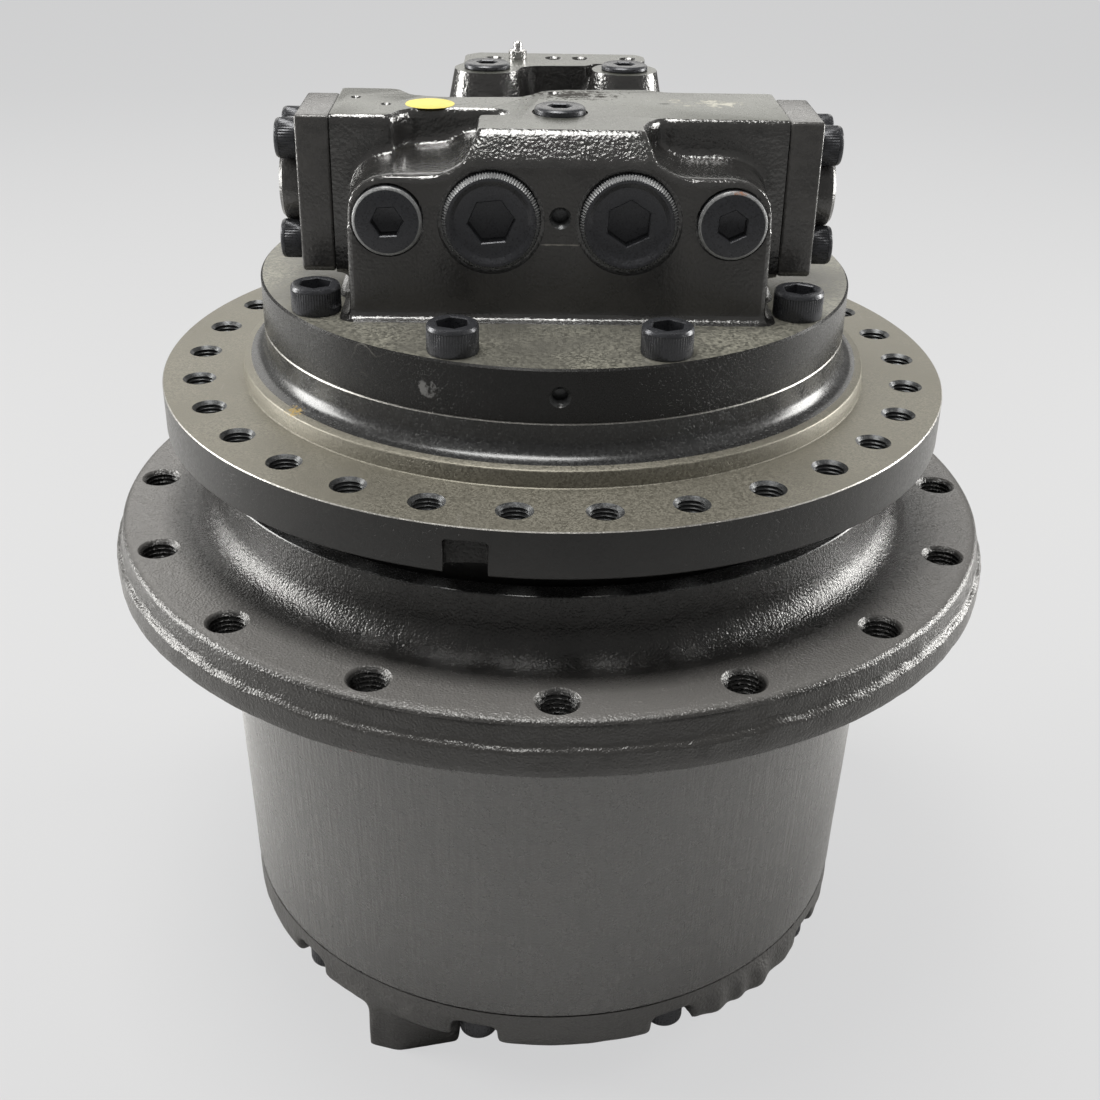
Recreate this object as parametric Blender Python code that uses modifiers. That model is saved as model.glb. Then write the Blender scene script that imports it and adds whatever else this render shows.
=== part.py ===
"""Excavator final drive: a two stage planetary hub with its hydraulic travel motor.

The turned axis is +Z. The front, with the relief valve plugs, faces -Y. The lowest
point of the end cover is at z = 0. All sizes are in metres.
"""

import math

import bmesh
import bpy
from mathutils import Matrix, Vector

# Clearances
SEAT_GAP = 0.0003
RUN_GAP = 0.0004
BACKLASH = 0.0008
CUT_OVERSHOOT = 0.005

# Facets
TURN_STEPS = 32
INNER_STEPS = 20
SMALL_STEPS = 12
HOLE_SIDES = 8
FRAME_HOLE_SIDES = 6

# Gears, the same for both stages
MODULE = 0.005
PRESSURE_ANGLE = math.radians(25.0)
SUN_TEETH = 12
PLANET_TEETH = 24
PLANETS = 3
ROOT_DEPTH = 0.00625
STAGE_GAP = 0.001
FIRST_WIDTH = 0.030
CARRIER_THICKNESS = 0.012
HOLDER_THICKNESS = 0.010
SECOND_WIDTH = 0.068
RING_OVERRUN = 0.002
CARRIER_MARGIN = 0.022
HOLDER_MARGIN = 0.023
POST_RADIUS = 0.019
PIN_RADIUS = 0.0177
PIN_SEAT_DEPTH = 0.019
SHAFT_RADIUS = 0.015
SPLINE_RADIUS = 0.020
SUN_PITCH = MODULE * SUN_TEETH / 2
PLANET_PITCH = MODULE * PLANET_TEETH / 2
GEAR_CENTRES = SUN_PITCH + PLANET_PITCH
RING_TEETH = SUN_TEETH + 2 * PLANET_TEETH
RING_PITCH = MODULE * RING_TEETH / 2
RING_TIP = RING_PITCH - MODULE * 0.94
RING_ROOT = RING_PITCH + ROOT_DEPTH
PLANET_ANGLES = tuple(90.0 + 360.0 / PLANETS * i for i in range(PLANETS))
CARRIER_RADIUS = GEAR_CENTRES + CARRIER_MARGIN
HOLDER_RADIUS = GEAR_CENTRES + HOLDER_MARGIN

# Main bearings, nut and face seal between hub and spindle
JOURNAL_WALL = 0.0083
BEARING_SECTION = 0.0285
BEARING_WIDTH = 0.030
BEARING_SPREAD = 0.029
BEARING_LIFT = 0.0184
SHOULDER_WIDTH = 0.0065
NUT_WIDTH = 0.013
NUT_THICKNESS = 0.0075
ROLLERS = 20
ROLLER_RADIUS = 0.0043
CAGE_HALF_WIDTH = 0.0018
SEAL_INSET = 0.0055
SEAL_WIDTH = 0.014
SEAL_RING_HEIGHT = 0.0094
SEAL_LIFT = 0.0042
SEAL_ROOM = 0.004
JOURNAL_RADIUS = GEAR_CENTRES + PIN_RADIUS + JOURNAL_WALL
NUT_RADIUS = JOURNAL_RADIUS + NUT_WIDTH
BEARING_BORE = JOURNAL_RADIUS + BEARING_SECTION
SHOULDER_RADIUS = BEARING_BORE - SHOULDER_WIDTH
SEAL_INNER_RADIUS = BEARING_BORE + SEAL_INSET

# Sprocket hub
DRUM_WALL = 0.02635
DRUM_TAPER = 0.0052
MOUTH_MARGIN = 0.0135
MOUTH_DEPTH = 0.0275
NECK_WALL = 0.010
NECK_HEIGHT = 0.0325
NECK_FILLET = 0.015
SPROCKET_LAND = 0.041
SPROCKET_THICKNESS = 0.0274
SPROCKET_BOLTS = 16
SPROCKET_BOLT_INSET = 0.021
SPROCKET_HOLE_RADIUS = 0.0094
DRUM_FOOT_RADIUS = RING_ROOT + DRUM_WALL
DRUM_TOP_RADIUS = DRUM_FOOT_RADIUS + DRUM_TAPER
HUB_MOUTH_RADIUS = SEAL_INNER_RADIUS + SEAL_WIDTH + MOUTH_MARGIN
NECK_RADIUS = HUB_MOUTH_RADIUS + NECK_WALL
SPROCKET_RADIUS = NECK_RADIUS + NECK_FILLET + SPROCKET_LAND
SPROCKET_BOLT_CIRCLE_RADIUS = SPROCKET_RADIUS - SPROCKET_BOLT_INSET

# End cover
COVER_HEIGHT = 0.0523
COVER_RIM_THICKNESS = 0.0248
COVER_RIM_CHAMFER = 0.004
COVER_DOME_WIDTH = 0.040
COVER_FACE_RADIUS = 0.094
COVER_WALL = 0.012
COVER_SPIGOT_DEPTH = 0.004
COVER_BOLTS = 10
COVER_BOLT_FIRST_ANGLE = -13.0
COVER_BOLT_INSET = 0.0133
COVER_BOLT_HEAD_RADIUS = 0.0105
COVER_BOLT_HEAD_HEIGHT = 0.0125
COVER_POCKET_RADIUS = 0.0125
COVER_LUG_LEFT = (-0.1015, -0.1515)
COVER_LUG_FRONT = (-0.0840, -0.1565)
COVER_LUG_RIGHT = (-0.0520, -0.1490)
COVER_PLUG_INSET = 0.049
COVER_PLUG_RADIUS = 0.014
COVER_PLUG_HEIGHT = 0.008
COVER_PLUG_PROUD = 0.002
COVER_PLUG_HEX = 0.011
COVER_PLUG_ANGLES = {"drain": 150.0, "fill": 30.0, "level": 270.0}
COVER_RIM_RADIUS = DRUM_FOOT_RADIUS - SEAT_GAP
COVER_BOLT_CIRCLE_RADIUS = COVER_RIM_RADIUS - COVER_BOLT_INSET
COVER_PLUG_CIRCLE_RADIUS = COVER_BOLT_CIRCLE_RADIUS - COVER_PLUG_INSET

# Plugs of the valve block, whose sizes set the width of its front
RELIEF_RADIUS = 0.023
RELIEF_HEX = 0.019
RELIEF_SPACING = 0.009
RELIEF_RECESS = 0.0015
CHECK_RADIUS = 0.0162
CHECK_HEX = 0.013
CHECK_SPACING = 0.0088
CHECK_WALL = 0.0028
TOP_PLUG_RADIUS = 0.01225
TOP_PLUG_HEX = 0.010
REAR_PLUG_RADIUS = 0.0125
PLUG_PROUD = 0.003
PLUG_SINK = 0.003
PLUG_THREAD_LENGTH = 0.015
PLUG_SHANK_SHARE = 0.74
SPOT_MARGIN = 0.002
RELIEF_X = RELIEF_RADIUS + RELIEF_SPACING
CHECK_X = RELIEF_X + RELIEF_RADIUS + CHECK_SPACING + CHECK_RADIUS

# Motor flange and its bolts
DISC_OVERHANG = 0.0554
MOTOR_THICKNESS = 0.0257
MOTOR_BOLT_INSET = 0.0134
MOTOR_BOLT_ANGLES = (20.15, 55.8, 124.2, 159.85, -159.85, -124.2, -55.8, -20.15)
MOTOR_BOLT_RADIUS = 0.008
MOTOR_BOLT_HEAD_RADIUS = 0.012
MOTOR_BOLT_HEAD_HEIGHT = 0.0135
MOTOR_BOLT_GRIP = 0.022
MOTOR_BOLT_HEX = 0.014
BLOCK_HALF_WIDTH = CHECK_X + CHECK_RADIUS + CHECK_WALL
MOTOR_RADIUS = BLOCK_HALF_WIDTH + DISC_OVERHANG
MOTOR_BOLT_CIRCLE_RADIUS = MOTOR_RADIUS - MOTOR_BOLT_INSET

# Track frame flange on the spindle
FRAME_LIFT = 0.0535
FRAME_WIDTH = 0.042
FRAME_THICKNESS = 0.0235
FRAME_EDGE = 0.0008
FRAME_BOLTS = 30
FRAME_BOLT_INSET = 0.019
FRAME_HOLE_RADIUS = 0.0076
FRAME_NOTCH_X = -0.041
FRAME_NOTCH_WIDTH = 0.020
FRAME_NOTCH_HEIGHT = 0.017
FRAME_NOTCH_DEPTH = 0.012
SPIGOT_WIDTH = 0.0126
SPIGOT_HEIGHT = 0.0083
SPIGOT_TAPER = 0.0007
COVE_HEIGHT = 0.018
COVE_RADIUS = 0.008
SPIGOT_RADIUS = MOTOR_RADIUS + SPIGOT_WIDTH
FRAME_RADIUS = SPIGOT_RADIUS + FRAME_WIDTH
FRAME_BOLT_CIRCLE_RADIUS = FRAME_RADIUS - FRAME_BOLT_INSET

# Valve block on the motor flange
FRONT_SETBACK = 0.0634
ARM_OVERHANG = 0.010
ARM_SETBACK = 0.0345
ARM_DEPTH = 0.065
ARM_LIFT = 0.011
BULGE_SETBACK = 0.011
BULGE_OVERHANG = 0.011
BULGE_RISE = 0.0212
PORT_LIFT = 0.0477
SHOULDER_WALL = 0.0026
CREST_RISE = 0.007
VALLEY_LIFT = 0.050
REAR_HALF_WIDTH = 0.062
REAR_SETBACK = 0.0424
PORT_BLOCK_HALF_WIDTH = 0.050
PORT_BLOCK_DEPTH = 0.028
BOSS_TOP_RADIUS = 0.017
BOSS_FOOT_RADIUS = 0.026
BOSS_X = 0.0373
BOSS_INSET = 0.045
PAD_HOLES = ((-0.035, 0.0155), (-0.002, 0.0135), (0.0145, 0.0145), (0.041, 0.0135))
PAD_HOLE_RADIUS = 0.0048
PAD_HOLE_DEPTH = 0.012
PILOT_HOLE_RADIUS = 0.0045
PILOT_HOLE_DEPTH = 0.012
PILOT_HOLE_LIFT = 0.002
DISC_HOLE_LIFT = 0.0125
MAIN_PORT_X = 0.024
MAIN_PORT_DROP = 0.004
MAIN_PORT_RADIUS = 0.0135
MAIN_PORT_DEPTH = 0.022
DRAIN_PORT_RADIUS = 0.008
DRAIN_PORT_DEPTH = 0.016
DRAIN_PORT_LIFT = 0.016
TOP_PLUG_SETBACK = 0.037
BLEED_X = -0.021
BLEED_INSET = 0.015
BLEED_RADIUS = 0.005
BLEED_HEIGHT = 0.009
BLEED_THREAD_RADIUS = 0.0035
BLEED_THREAD_LENGTH = 0.008
SHOULDER_RISE = CHECK_RADIUS + SHOULDER_WALL
BLOCK_HEIGHT = PORT_LIFT + SHOULDER_RISE + BULGE_RISE
BLOCK_FRONT = FRONT_SETBACK - MOTOR_RADIUS
BULGE_FRONT = BLOCK_FRONT + BULGE_SETBACK
BULGE_HALF_WIDTH = RELIEF_X + BULGE_OVERHANG
ARM_HALF_WIDTH = BLOCK_HALF_WIDTH + ARM_OVERHANG
ARM_FRONT = BLOCK_FRONT + ARM_SETBACK
ARM_BACK = ARM_FRONT + ARM_DEPTH
REAR_BACK = MOTOR_RADIUS - REAR_SETBACK
PORT_BLOCK_FRONT = REAR_BACK - PORT_BLOCK_DEPTH
BOSS_Y = REAR_BACK - BOSS_INSET
BLEED_Y = REAR_BACK - BLEED_INSET
TOP_PLUG_Y = BULGE_FRONT + TOP_PLUG_SETBACK

# Counterbalance spool and the side covers that close its bore
SPOOL_INSET = 0.0265
SPOOL_BORE = 0.014
SPOOL_TRAVEL = 0.006
SPOOL_END_ROOM = 0.008
SPOOL_GROOVE_SHARE = 0.68
SIDE_COVER_THICKNESS = 0.0165
SIDE_COVER_CAP_RADIUS = 0.0185
SIDE_COVER_CAP_HEIGHT = 0.011
SIDE_BOLT_RADIUS = 0.0095
SIDE_BOLT_HEIGHT = 0.011
SIDE_BOLT_INSET = 0.0135
SPOOL_Y = ARM_FRONT + SPOOL_INSET
SPOOL_LENGTH = 2 * (ARM_HALF_WIDTH - SPOOL_TRAVEL - SPOOL_END_ROOM)

# Hydraulic motor and parking brake inside the spindle
BLOCK_RADIUS = 0.056
MOTOR_ROOM = 0.032
CASE_FLOOR = 0.030
BEARING_SEAT_RADIUS = 0.040
BEARING_SEAT_DEPTH = 0.018
SEAL_BORE_RADIUS = 0.026
SWASH_MARGIN = 0.002
SWASH_THICKNESS = 0.014
SWASH_TILT = math.radians(15.0)
SWASH_LIFT = 0.044
SWASH_HOLE_MARGIN = 0.012
CRADLE_SHARE = 0.26
ROTOR_LENGTH = 0.090
PISTONS = 9
PISTON_INSET = 0.018
PISTON_RADIUS = 0.0075
PISTON_PROUD = 0.006
VALVE_PLATE_THICKNESS = 0.0097
BRAKE_LEDGE = 0.0857
BRAKE_LEDGE_WIDTH = 0.006
BRAKE_PLATE_THICKNESS = 0.003
BRAKE_PISTON_HEIGHT = 0.024
BRAKE_SPRING_RADIUS = 0.006
BRAKE_SPRING_TURNS = 4
BRAKE_WIRE_RADIUS = 0.0012
CASE_RADIUS = BLOCK_RADIUS + MOTOR_ROOM
SWASH_RADIUS = BLOCK_RADIUS + SWASH_MARGIN
PISTON_CIRCLE_RADIUS = BLOCK_RADIUS - PISTON_INSET

# Heights that follow from the sizes above
Z_JOINT = COVER_HEIGHT
Z_HUB = Z_JOINT + SEAT_GAP
Z_RIM = COVER_HEIGHT - COVER_RIM_THICKNESS
Z_TEETH = Z_HUB + COVER_SPIGOT_DEPTH + STAGE_GAP
Z_FIRST = Z_TEETH + STAGE_GAP
Z_FIRST_TOP = Z_FIRST + FIRST_WIDTH
Z_CARRIER = Z_FIRST_TOP + STAGE_GAP
Z_CARRIER_TOP = Z_CARRIER + CARRIER_THICKNESS
Z_HOLDER = Z_CARRIER_TOP + STAGE_GAP
Z_HOLDER_TOP = Z_HOLDER + HOLDER_THICKNESS
Z_SECOND = Z_HOLDER_TOP + STAGE_GAP
Z_SECOND_TOP = Z_SECOND + SECOND_WIDTH
Z_SPINDLE = Z_SECOND_TOP + STAGE_GAP
Z_TEETH_TOP = Z_SPINDLE + RING_OVERRUN
Z_LOWER_BEARING = Z_TEETH_TOP + BEARING_LIFT
Z_UPPER_BEARING = Z_LOWER_BEARING + BEARING_WIDTH + BEARING_SPREAD
Z_SEAL = Z_UPPER_BEARING + BEARING_WIDTH + SEAL_LIFT
Z_NECK = Z_UPPER_BEARING + BEARING_WIDTH + MOUTH_DEPTH
Z_SPROCKET_TOP = Z_NECK - NECK_HEIGHT
Z_SPROCKET = Z_SPROCKET_TOP - SPROCKET_THICKNESS
Z_FRAME = Z_SPROCKET_TOP + FRAME_LIFT
Z_FRAME_TOP = Z_FRAME + FRAME_THICKNESS
Z_SPIGOT = Z_FRAME_TOP + SPIGOT_HEIGHT
Z_SPINDLE_TOP = Z_SPIGOT + COVE_HEIGHT
Z_MOTOR = Z_SPINDLE_TOP + SEAT_GAP
Z_MOTOR_TOP = Z_MOTOR + MOTOR_THICKNESS
Z_BLOCK_TOP = Z_MOTOR_TOP + BLOCK_HEIGHT
Z_PORTS = Z_MOTOR_TOP + PORT_LIFT
Z_VALLEY = Z_MOTOR_TOP + VALLEY_LIFT
Z_ARM = Z_MOTOR_TOP + ARM_LIFT
Z_CASE = Z_SPINDLE + CASE_FLOOR
Z_LEDGE = Z_CASE + BRAKE_LEDGE
Z_SWASH = Z_CASE + SWASH_LIFT
Z_ROTOR_TOP = Z_SPINDLE_TOP - VALVE_PLATE_THICKNESS - SEAT_GAP
Z_ROTOR = Z_ROTOR_TOP - ROTOR_LENGTH

PARTS = "excavator_final_drive"
CUTTERS = "cutters"


def clear_collections():
    for old in list(bpy.data.objects):
        bpy.data.objects.remove(old, do_unlink=True)
    for name in (PARTS, CUTTERS):
        group = bpy.data.collections.new(name)
        bpy.context.scene.collection.children.link(group)


def finish_material(name, colour, roughness, metallic):
    material = bpy.data.materials.new(name)
    material.use_nodes = True
    shader = material.node_tree.nodes["Principled BSDF"]
    shader.inputs["Base Color"].default_value = (*colour, 1.0)
    shader.inputs["Roughness"].default_value = roughness
    shader.inputs["Metallic"].default_value = metallic
    return material


FINISHES = {
    "cast": ((0.060, 0.060, 0.056), 0.55, 0.1),
    "gloss": ((0.035, 0.034, 0.033), 0.30, 0.1),
    "flange": ((0.150, 0.145, 0.120), 0.45, 0.6),
    "bolt": ((0.030, 0.031, 0.034), 0.35, 0.8),
    "gear": ((0.420, 0.420, 0.410), 0.35, 1.0),
    "bearing": ((0.600, 0.600, 0.590), 0.25, 1.0),
    "bronze": ((0.480, 0.330, 0.150), 0.40, 1.0),
}


def place(name, data, finish=None, location=(0, 0, 0), rotation=(0, 0, 0)):
    """Add an object as a named piece, or as a hidden cutter when it has no finish."""
    item = bpy.data.objects.new(name, data)
    item.location = location
    item.rotation_euler = rotation
    group = bpy.data.collections[PARTS if finish else CUTTERS]
    group.objects.link(item)
    if finish:
        colour, roughness, metallic = FINISHES[finish]
        data.materials.append(finish_material(name, colour, roughness, metallic))
    else:
        item.hide_render = True
        item.display_type = "WIRE"
    return item


def mesh_from(bm, name):
    mesh = bpy.data.meshes.new(name)
    bm.to_mesh(mesh)
    bm.free()
    return mesh


def turned(name, profile, finish=None, steps=TURN_STEPS, **where):
    """Revolve a profile of (radius, height) points about the local Z axis.

    The points run down the outer side. The outline is closed unless both ends
    lie on the axis.
    """
    bm = bmesh.new()
    corners = [bm.verts.new((radius, 0, height)) for radius, height in profile]
    for first, second in zip(corners, corners[1:]):
        bm.edges.new((first, second))
    if profile[0][0] > 0 or profile[-1][0] > 0:
        bm.edges.new((corners[-1], corners[0]))
    item = place(name, mesh_from(bm, name), finish, **where)
    screw = item.modifiers.new("revolve", "SCREW")
    screw.axis = "Z"
    screw.angle = 2 * math.pi
    screw.steps = steps
    screw.render_steps = steps
    screw.use_merge_vertices = True
    screw.merge_threshold = 0.00001
    return item


def plate(name, outlines, low, high, finish=None, axis="Z", centre=(0, 0, 0)):
    """Extrude closed flat outlines between two heights along Z, or along -Y or X."""
    curve = bpy.data.curves.new(name, "CURVE")
    curve.dimensions = "2D"
    curve.fill_mode = "BOTH"
    curve.extrude = (high - low) / 2
    for outline in outlines:
        spline = curve.splines.new("POLY")
        spline.points.add(len(outline) - 1)
        for point, (x, y) in zip(spline.points, outline):
            point.co = (x, y, 0, 1)
        spline.use_cyclic_u = True
    flat = bpy.data.objects.new(name + "_outline", curve)
    flat.location = (0, 0, (low + high) / 2)
    bpy.context.scene.collection.objects.link(flat)
    bpy.context.view_layer.update()
    ready = flat.evaluated_get(bpy.context.evaluated_depsgraph_get())
    mesh = bpy.data.meshes.new_from_object(ready)
    turn = {
        "Z": Matrix.Identity(4),
        "-Y": Matrix.Rotation(math.pi / 2, 4, "X"),
        "X": Matrix.Rotation(math.pi / 2, 4, "Z") @ Matrix.Rotation(math.pi / 2, 4, "X"),
    }[axis]
    bm = bmesh.new()
    bm.from_mesh(mesh)
    bmesh.ops.remove_doubles(bm, verts=bm.verts, dist=0.000001)
    bmesh.ops.transform(bm, matrix=turn @ flat.matrix_world, verts=bm.verts)
    bpy.data.objects.remove(flat)
    bpy.data.meshes.remove(mesh)
    bpy.data.curves.remove(curve)
    return place(name, mesh_from(bm, name), finish, location=centre)


def box(name, low, high, finish=None):
    bm = bmesh.new()
    bmesh.ops.create_cube(bm, size=1.0)
    size = Vector(high) - Vector(low)
    middle = (Vector(high) + Vector(low)) / 2
    bmesh.ops.scale(bm, vec=size, verts=bm.verts)
    bmesh.ops.translate(bm, vec=middle, verts=bm.verts)
    return place(name, mesh_from(bm, name), finish)


AXIS_TURNS = {
    "Z": Matrix.Identity(4),
    "-Y": Matrix.Rotation(math.pi / 2, 4, "X"),
    "Y": Matrix.Rotation(-math.pi / 2, 4, "X"),
    "X": Matrix.Rotation(math.pi / 2, 4, "Y"),
    "-X": Matrix.Rotation(-math.pi / 2, 4, "Y"),
}


def add_rod(bm, spot, radius, length, axis, sides, top=None):
    """A many sided bar that starts at the spot and runs along the axis."""
    matrix = (
        Matrix.Translation(spot)
        @ AXIS_TURNS[axis]
        @ Matrix.Translation((0, 0, length / 2))
        @ Matrix.Rotation(math.pi / (2 * sides), 4, "Z")
    )
    bmesh.ops.create_cone(
        bm,
        cap_ends=True,
        segments=sides,
        radius1=radius,
        radius2=radius if top is None else top,
        depth=length,
        matrix=matrix,
    )


def rods(name, places, radius, length, axis="Z", sides=SMALL_STEPS, top=None):
    """Equal bars, one at each place."""
    bm = bmesh.new()
    for spot in places:
        add_rod(bm, spot, radius, length, axis, sides, top)
    return place(name, mesh_from(bm, name))


def drills(name, bars):
    """One cutter made of bars that differ: (place, radius, length, axis, sides)."""
    bm = bmesh.new()
    for spot, radius, length, axis, sides in bars:
        add_rod(bm, spot, radius, length, axis, sides)
    return place(name, mesh_from(bm, name))


def combine(item, tool, operation):
    step = item.modifiers.new(operation.lower(), "BOOLEAN")
    step.operation = operation
    step.solver = "EXACT"
    step.object = tool


def cut(item, *tools):
    for tool in tools:
        combine(item, tool, "DIFFERENCE")


def join(item, *tools):
    for tool in tools:
        combine(item, tool, "UNION")


def polar(radius, degrees, z=0.0):
    """A point at an angle measured from the front (-Y) towards +X."""
    angle = math.radians(degrees)
    return (radius * math.sin(angle), -radius * math.cos(angle), z)


def arc(centre_x, centre_y, radius, start, end, steps):
    """Points of an arc, angles in degrees from +X."""
    points = []
    for i in range(steps + 1):
        angle = math.radians(start + (end - start) * i / steps)
        points.append(
            (centre_x + radius * math.cos(angle), centre_y + radius * math.sin(angle))
        )
    return points


def circle(radius, steps, x=0.0, y=0.0):
    return arc(x, y, radius, 0.0, 360.0, steps)[:-1]


def clear_bore(radius, steps, gap=RUN_GAP):
    """A faceted bore wide enough for a faceted shaft of this radius to turn in."""
    return (radius + gap) / math.cos(math.pi / steps)


def fit_inside(radius, steps, gap=SEAT_GAP):
    """The largest round piece that a faceted bore of this radius takes."""
    return radius * math.cos(math.pi / steps) - gap


def involute(angle):
    return math.tan(angle) - angle


def gear_outline(teeth, tip, root, slack, phase, flank_points=2):
    """Tooth outline with its flank corners on involutes.

    Positive slack thins the teeth, negative slack widens them.
    """
    pitch = MODULE * teeth / 2
    base = pitch * math.cos(PRESSURE_ANGLE)
    half_pitch = (math.pi * MODULE / 2 - slack) / 2 / pitch

    def half_width(radius):
        roll = math.acos(base / radius) if radius > base else 0.0
        return half_pitch + involute(PRESSURE_ANGLE) - involute(roll)

    radii = [root + (tip - root) * i / (flank_points - 1) for i in range(flank_points)]
    flank = [(radius, half_width(radius)) for radius in radii]
    points = []
    for tooth in range(teeth):
        centre = math.radians(phase) + 2 * math.pi * tooth / teeth
        for radius, half in flank:
            points.append((radius * math.cos(centre - half), radius * math.sin(centre - half)))
        for radius, half in reversed(flank):
            points.append((radius * math.cos(centre + half), radius * math.sin(centre + half)))
    return points


def sun_outline():
    phase = PLANET_ANGLES[0] + 180.0 / SUN_TEETH
    tip = SUN_PITCH + MODULE
    root = SUN_PITCH - ROOT_DEPTH
    return gear_outline(SUN_TEETH, tip, root, BACKLASH, phase, flank_points=3)


def planet_outline(angle):
    return gear_outline(
        PLANET_TEETH, PLANET_PITCH + MODULE, PLANET_PITCH - ROOT_DEPTH, BACKLASH, angle
    )


def ring_space_outline():
    return gear_outline(
        RING_TEETH, RING_PITCH + ROOT_DEPTH, RING_TIP, -BACKLASH, PLANET_ANGLES[0]
    )


def planet_centre(angle):
    radians = math.radians(angle)
    return (GEAR_CENTRES * math.cos(radians), GEAR_CENTRES * math.sin(radians))


def smooth_round_pieces():
    """Shade the evaluated look smooth, with creases kept at sharp edges."""
    for item in bpy.data.collections[PARTS].objects:
        if item.type == "MESH":
            item.data.shade_smooth()
            item.data.set_sharp_from_angle(angle=math.radians(35.0))


def build_end_cover():
    rim = COVER_RIM_RADIUS
    spigot = RING_ROOT
    pocket_inner = COVER_BOLT_CIRCLE_RADIUS - COVER_POCKET_RADIUS
    cover = turned(
        "end_cover",
        [
            (spigot, Z_JOINT + COVER_SPIGOT_DEPTH),
            (spigot, Z_JOINT),
            (rim, Z_JOINT),
            (rim, Z_RIM + COVER_RIM_CHAMFER),
            (rim - COVER_RIM_CHAMFER, Z_RIM),
            (pocket_inner - COVER_RIM_CHAMFER, Z_RIM - 0.0015),
            (COVER_FACE_RADIUS + COVER_DOME_WIDTH, COVER_WALL),
            (COVER_FACE_RADIUS + 0.006, 0.003),
            (COVER_FACE_RADIUS, 0.0),
            (0.0, 0.0),
            (0.0, Z_FIRST - SEAT_GAP),
            (SPLINE_RADIUS, Z_FIRST - SEAT_GAP),
            (SPLINE_RADIUS, COVER_WALL),
            (COVER_FACE_RADIUS, COVER_WALL),
            (spigot - COVER_WALL * 0.7, Z_JOINT + COVER_SPIGOT_DEPTH),
        ],
        "cast",
    )
    lug = plate(
        "cover_lug",
        [[COVER_LUG_LEFT, (-0.088, -0.118), (-0.050, -0.130), COVER_LUG_RIGHT, COVER_LUG_FRONT]],
        0.0,
        Z_RIM + COVER_RIM_CHAMFER,
    )
    angles = [
        COVER_BOLT_FIRST_ANGLE + 360.0 / COVER_BOLTS * i for i in range(COVER_BOLTS)
    ]
    pocket_height = COVER_BOLT_HEAD_HEIGHT + 0.0005
    slots = []
    for angle in angles:
        x, y, _ = polar(COVER_BOLT_CIRCLE_RADIUS, angle)
        inner = arc(x, y, COVER_POCKET_RADIUS, angle, angle + 180.0, 4)
        reach = polar(COVER_BOLT_INSET * 2, angle)
        outer = [
            (inner[-1][0] + reach[0], inner[-1][1] + reach[1]),
            (inner[0][0] + reach[0], inner[0][1] + reach[1]),
        ]
        slots.append(inner + outer)
    pockets = plate("cover_pockets", slots, Z_RIM - COVER_WALL, Z_RIM + pocket_height)
    heads = rods(
        "cover_bolt_heads",
        [polar(COVER_BOLT_CIRCLE_RADIUS, angle, Z_RIM) for angle in angles],
        COVER_BOLT_HEAD_RADIUS,
        pocket_height + 0.002,
        sides=HOLE_SIDES,
    )
    join(cover, lug)
    cut(cover, pockets)
    join(cover, heads)
    boss_low = COVER_WALL * 0.35
    seat = boss_low + COVER_PLUG_HEIGHT - COVER_PLUG_PROUD
    angles = COVER_PLUG_ANGLES.values()
    bosses = rods(
        "cover_plug_bosses",
        [polar(COVER_PLUG_CIRCLE_RADIUS, angle, boss_low) for angle in angles],
        COVER_PLUG_RADIUS * 1.43,
        COVER_WALL,
        sides=HOLE_SIDES,
    )
    holes = rods(
        "cover_plug_holes",
        [polar(COVER_PLUG_CIRCLE_RADIUS, angle, -CUT_OVERSHOOT) for angle in angles],
        clear_bore(COVER_PLUG_RADIUS, HOLE_SIDES, SEAT_GAP),
        CUT_OVERSHOOT + seat + SEAT_GAP,
        sides=HOLE_SIDES,
    )
    join(cover, bosses)
    cut(cover, holes)
    for use, angle in COVER_PLUG_ANGLES.items():
        spot = polar(COVER_PLUG_CIRCLE_RADIUS, angle, seat - COVER_PLUG_HEIGHT)
        plug = turned(
            use + "_plug",
            [
                (0.0, COVER_PLUG_HEIGHT),
                (COVER_PLUG_RADIUS, COVER_PLUG_HEIGHT),
                (COVER_PLUG_RADIUS, 0.001),
                (COVER_PLUG_RADIUS - 0.001, 0.0),
                (0.0, 0.0),
            ],
            "bolt",
            steps=HOLE_SIDES,
            location=spot,
        )
        socket = rods(
            use + "_plug_socket",
            [(spot[0], spot[1], spot[2] - COVER_PLUG_HEIGHT * 0.4)],
            COVER_PLUG_HEX / math.sqrt(3),
            COVER_PLUG_HEIGHT,
            sides=6,
        )
        cut(plug, socket)


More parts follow.
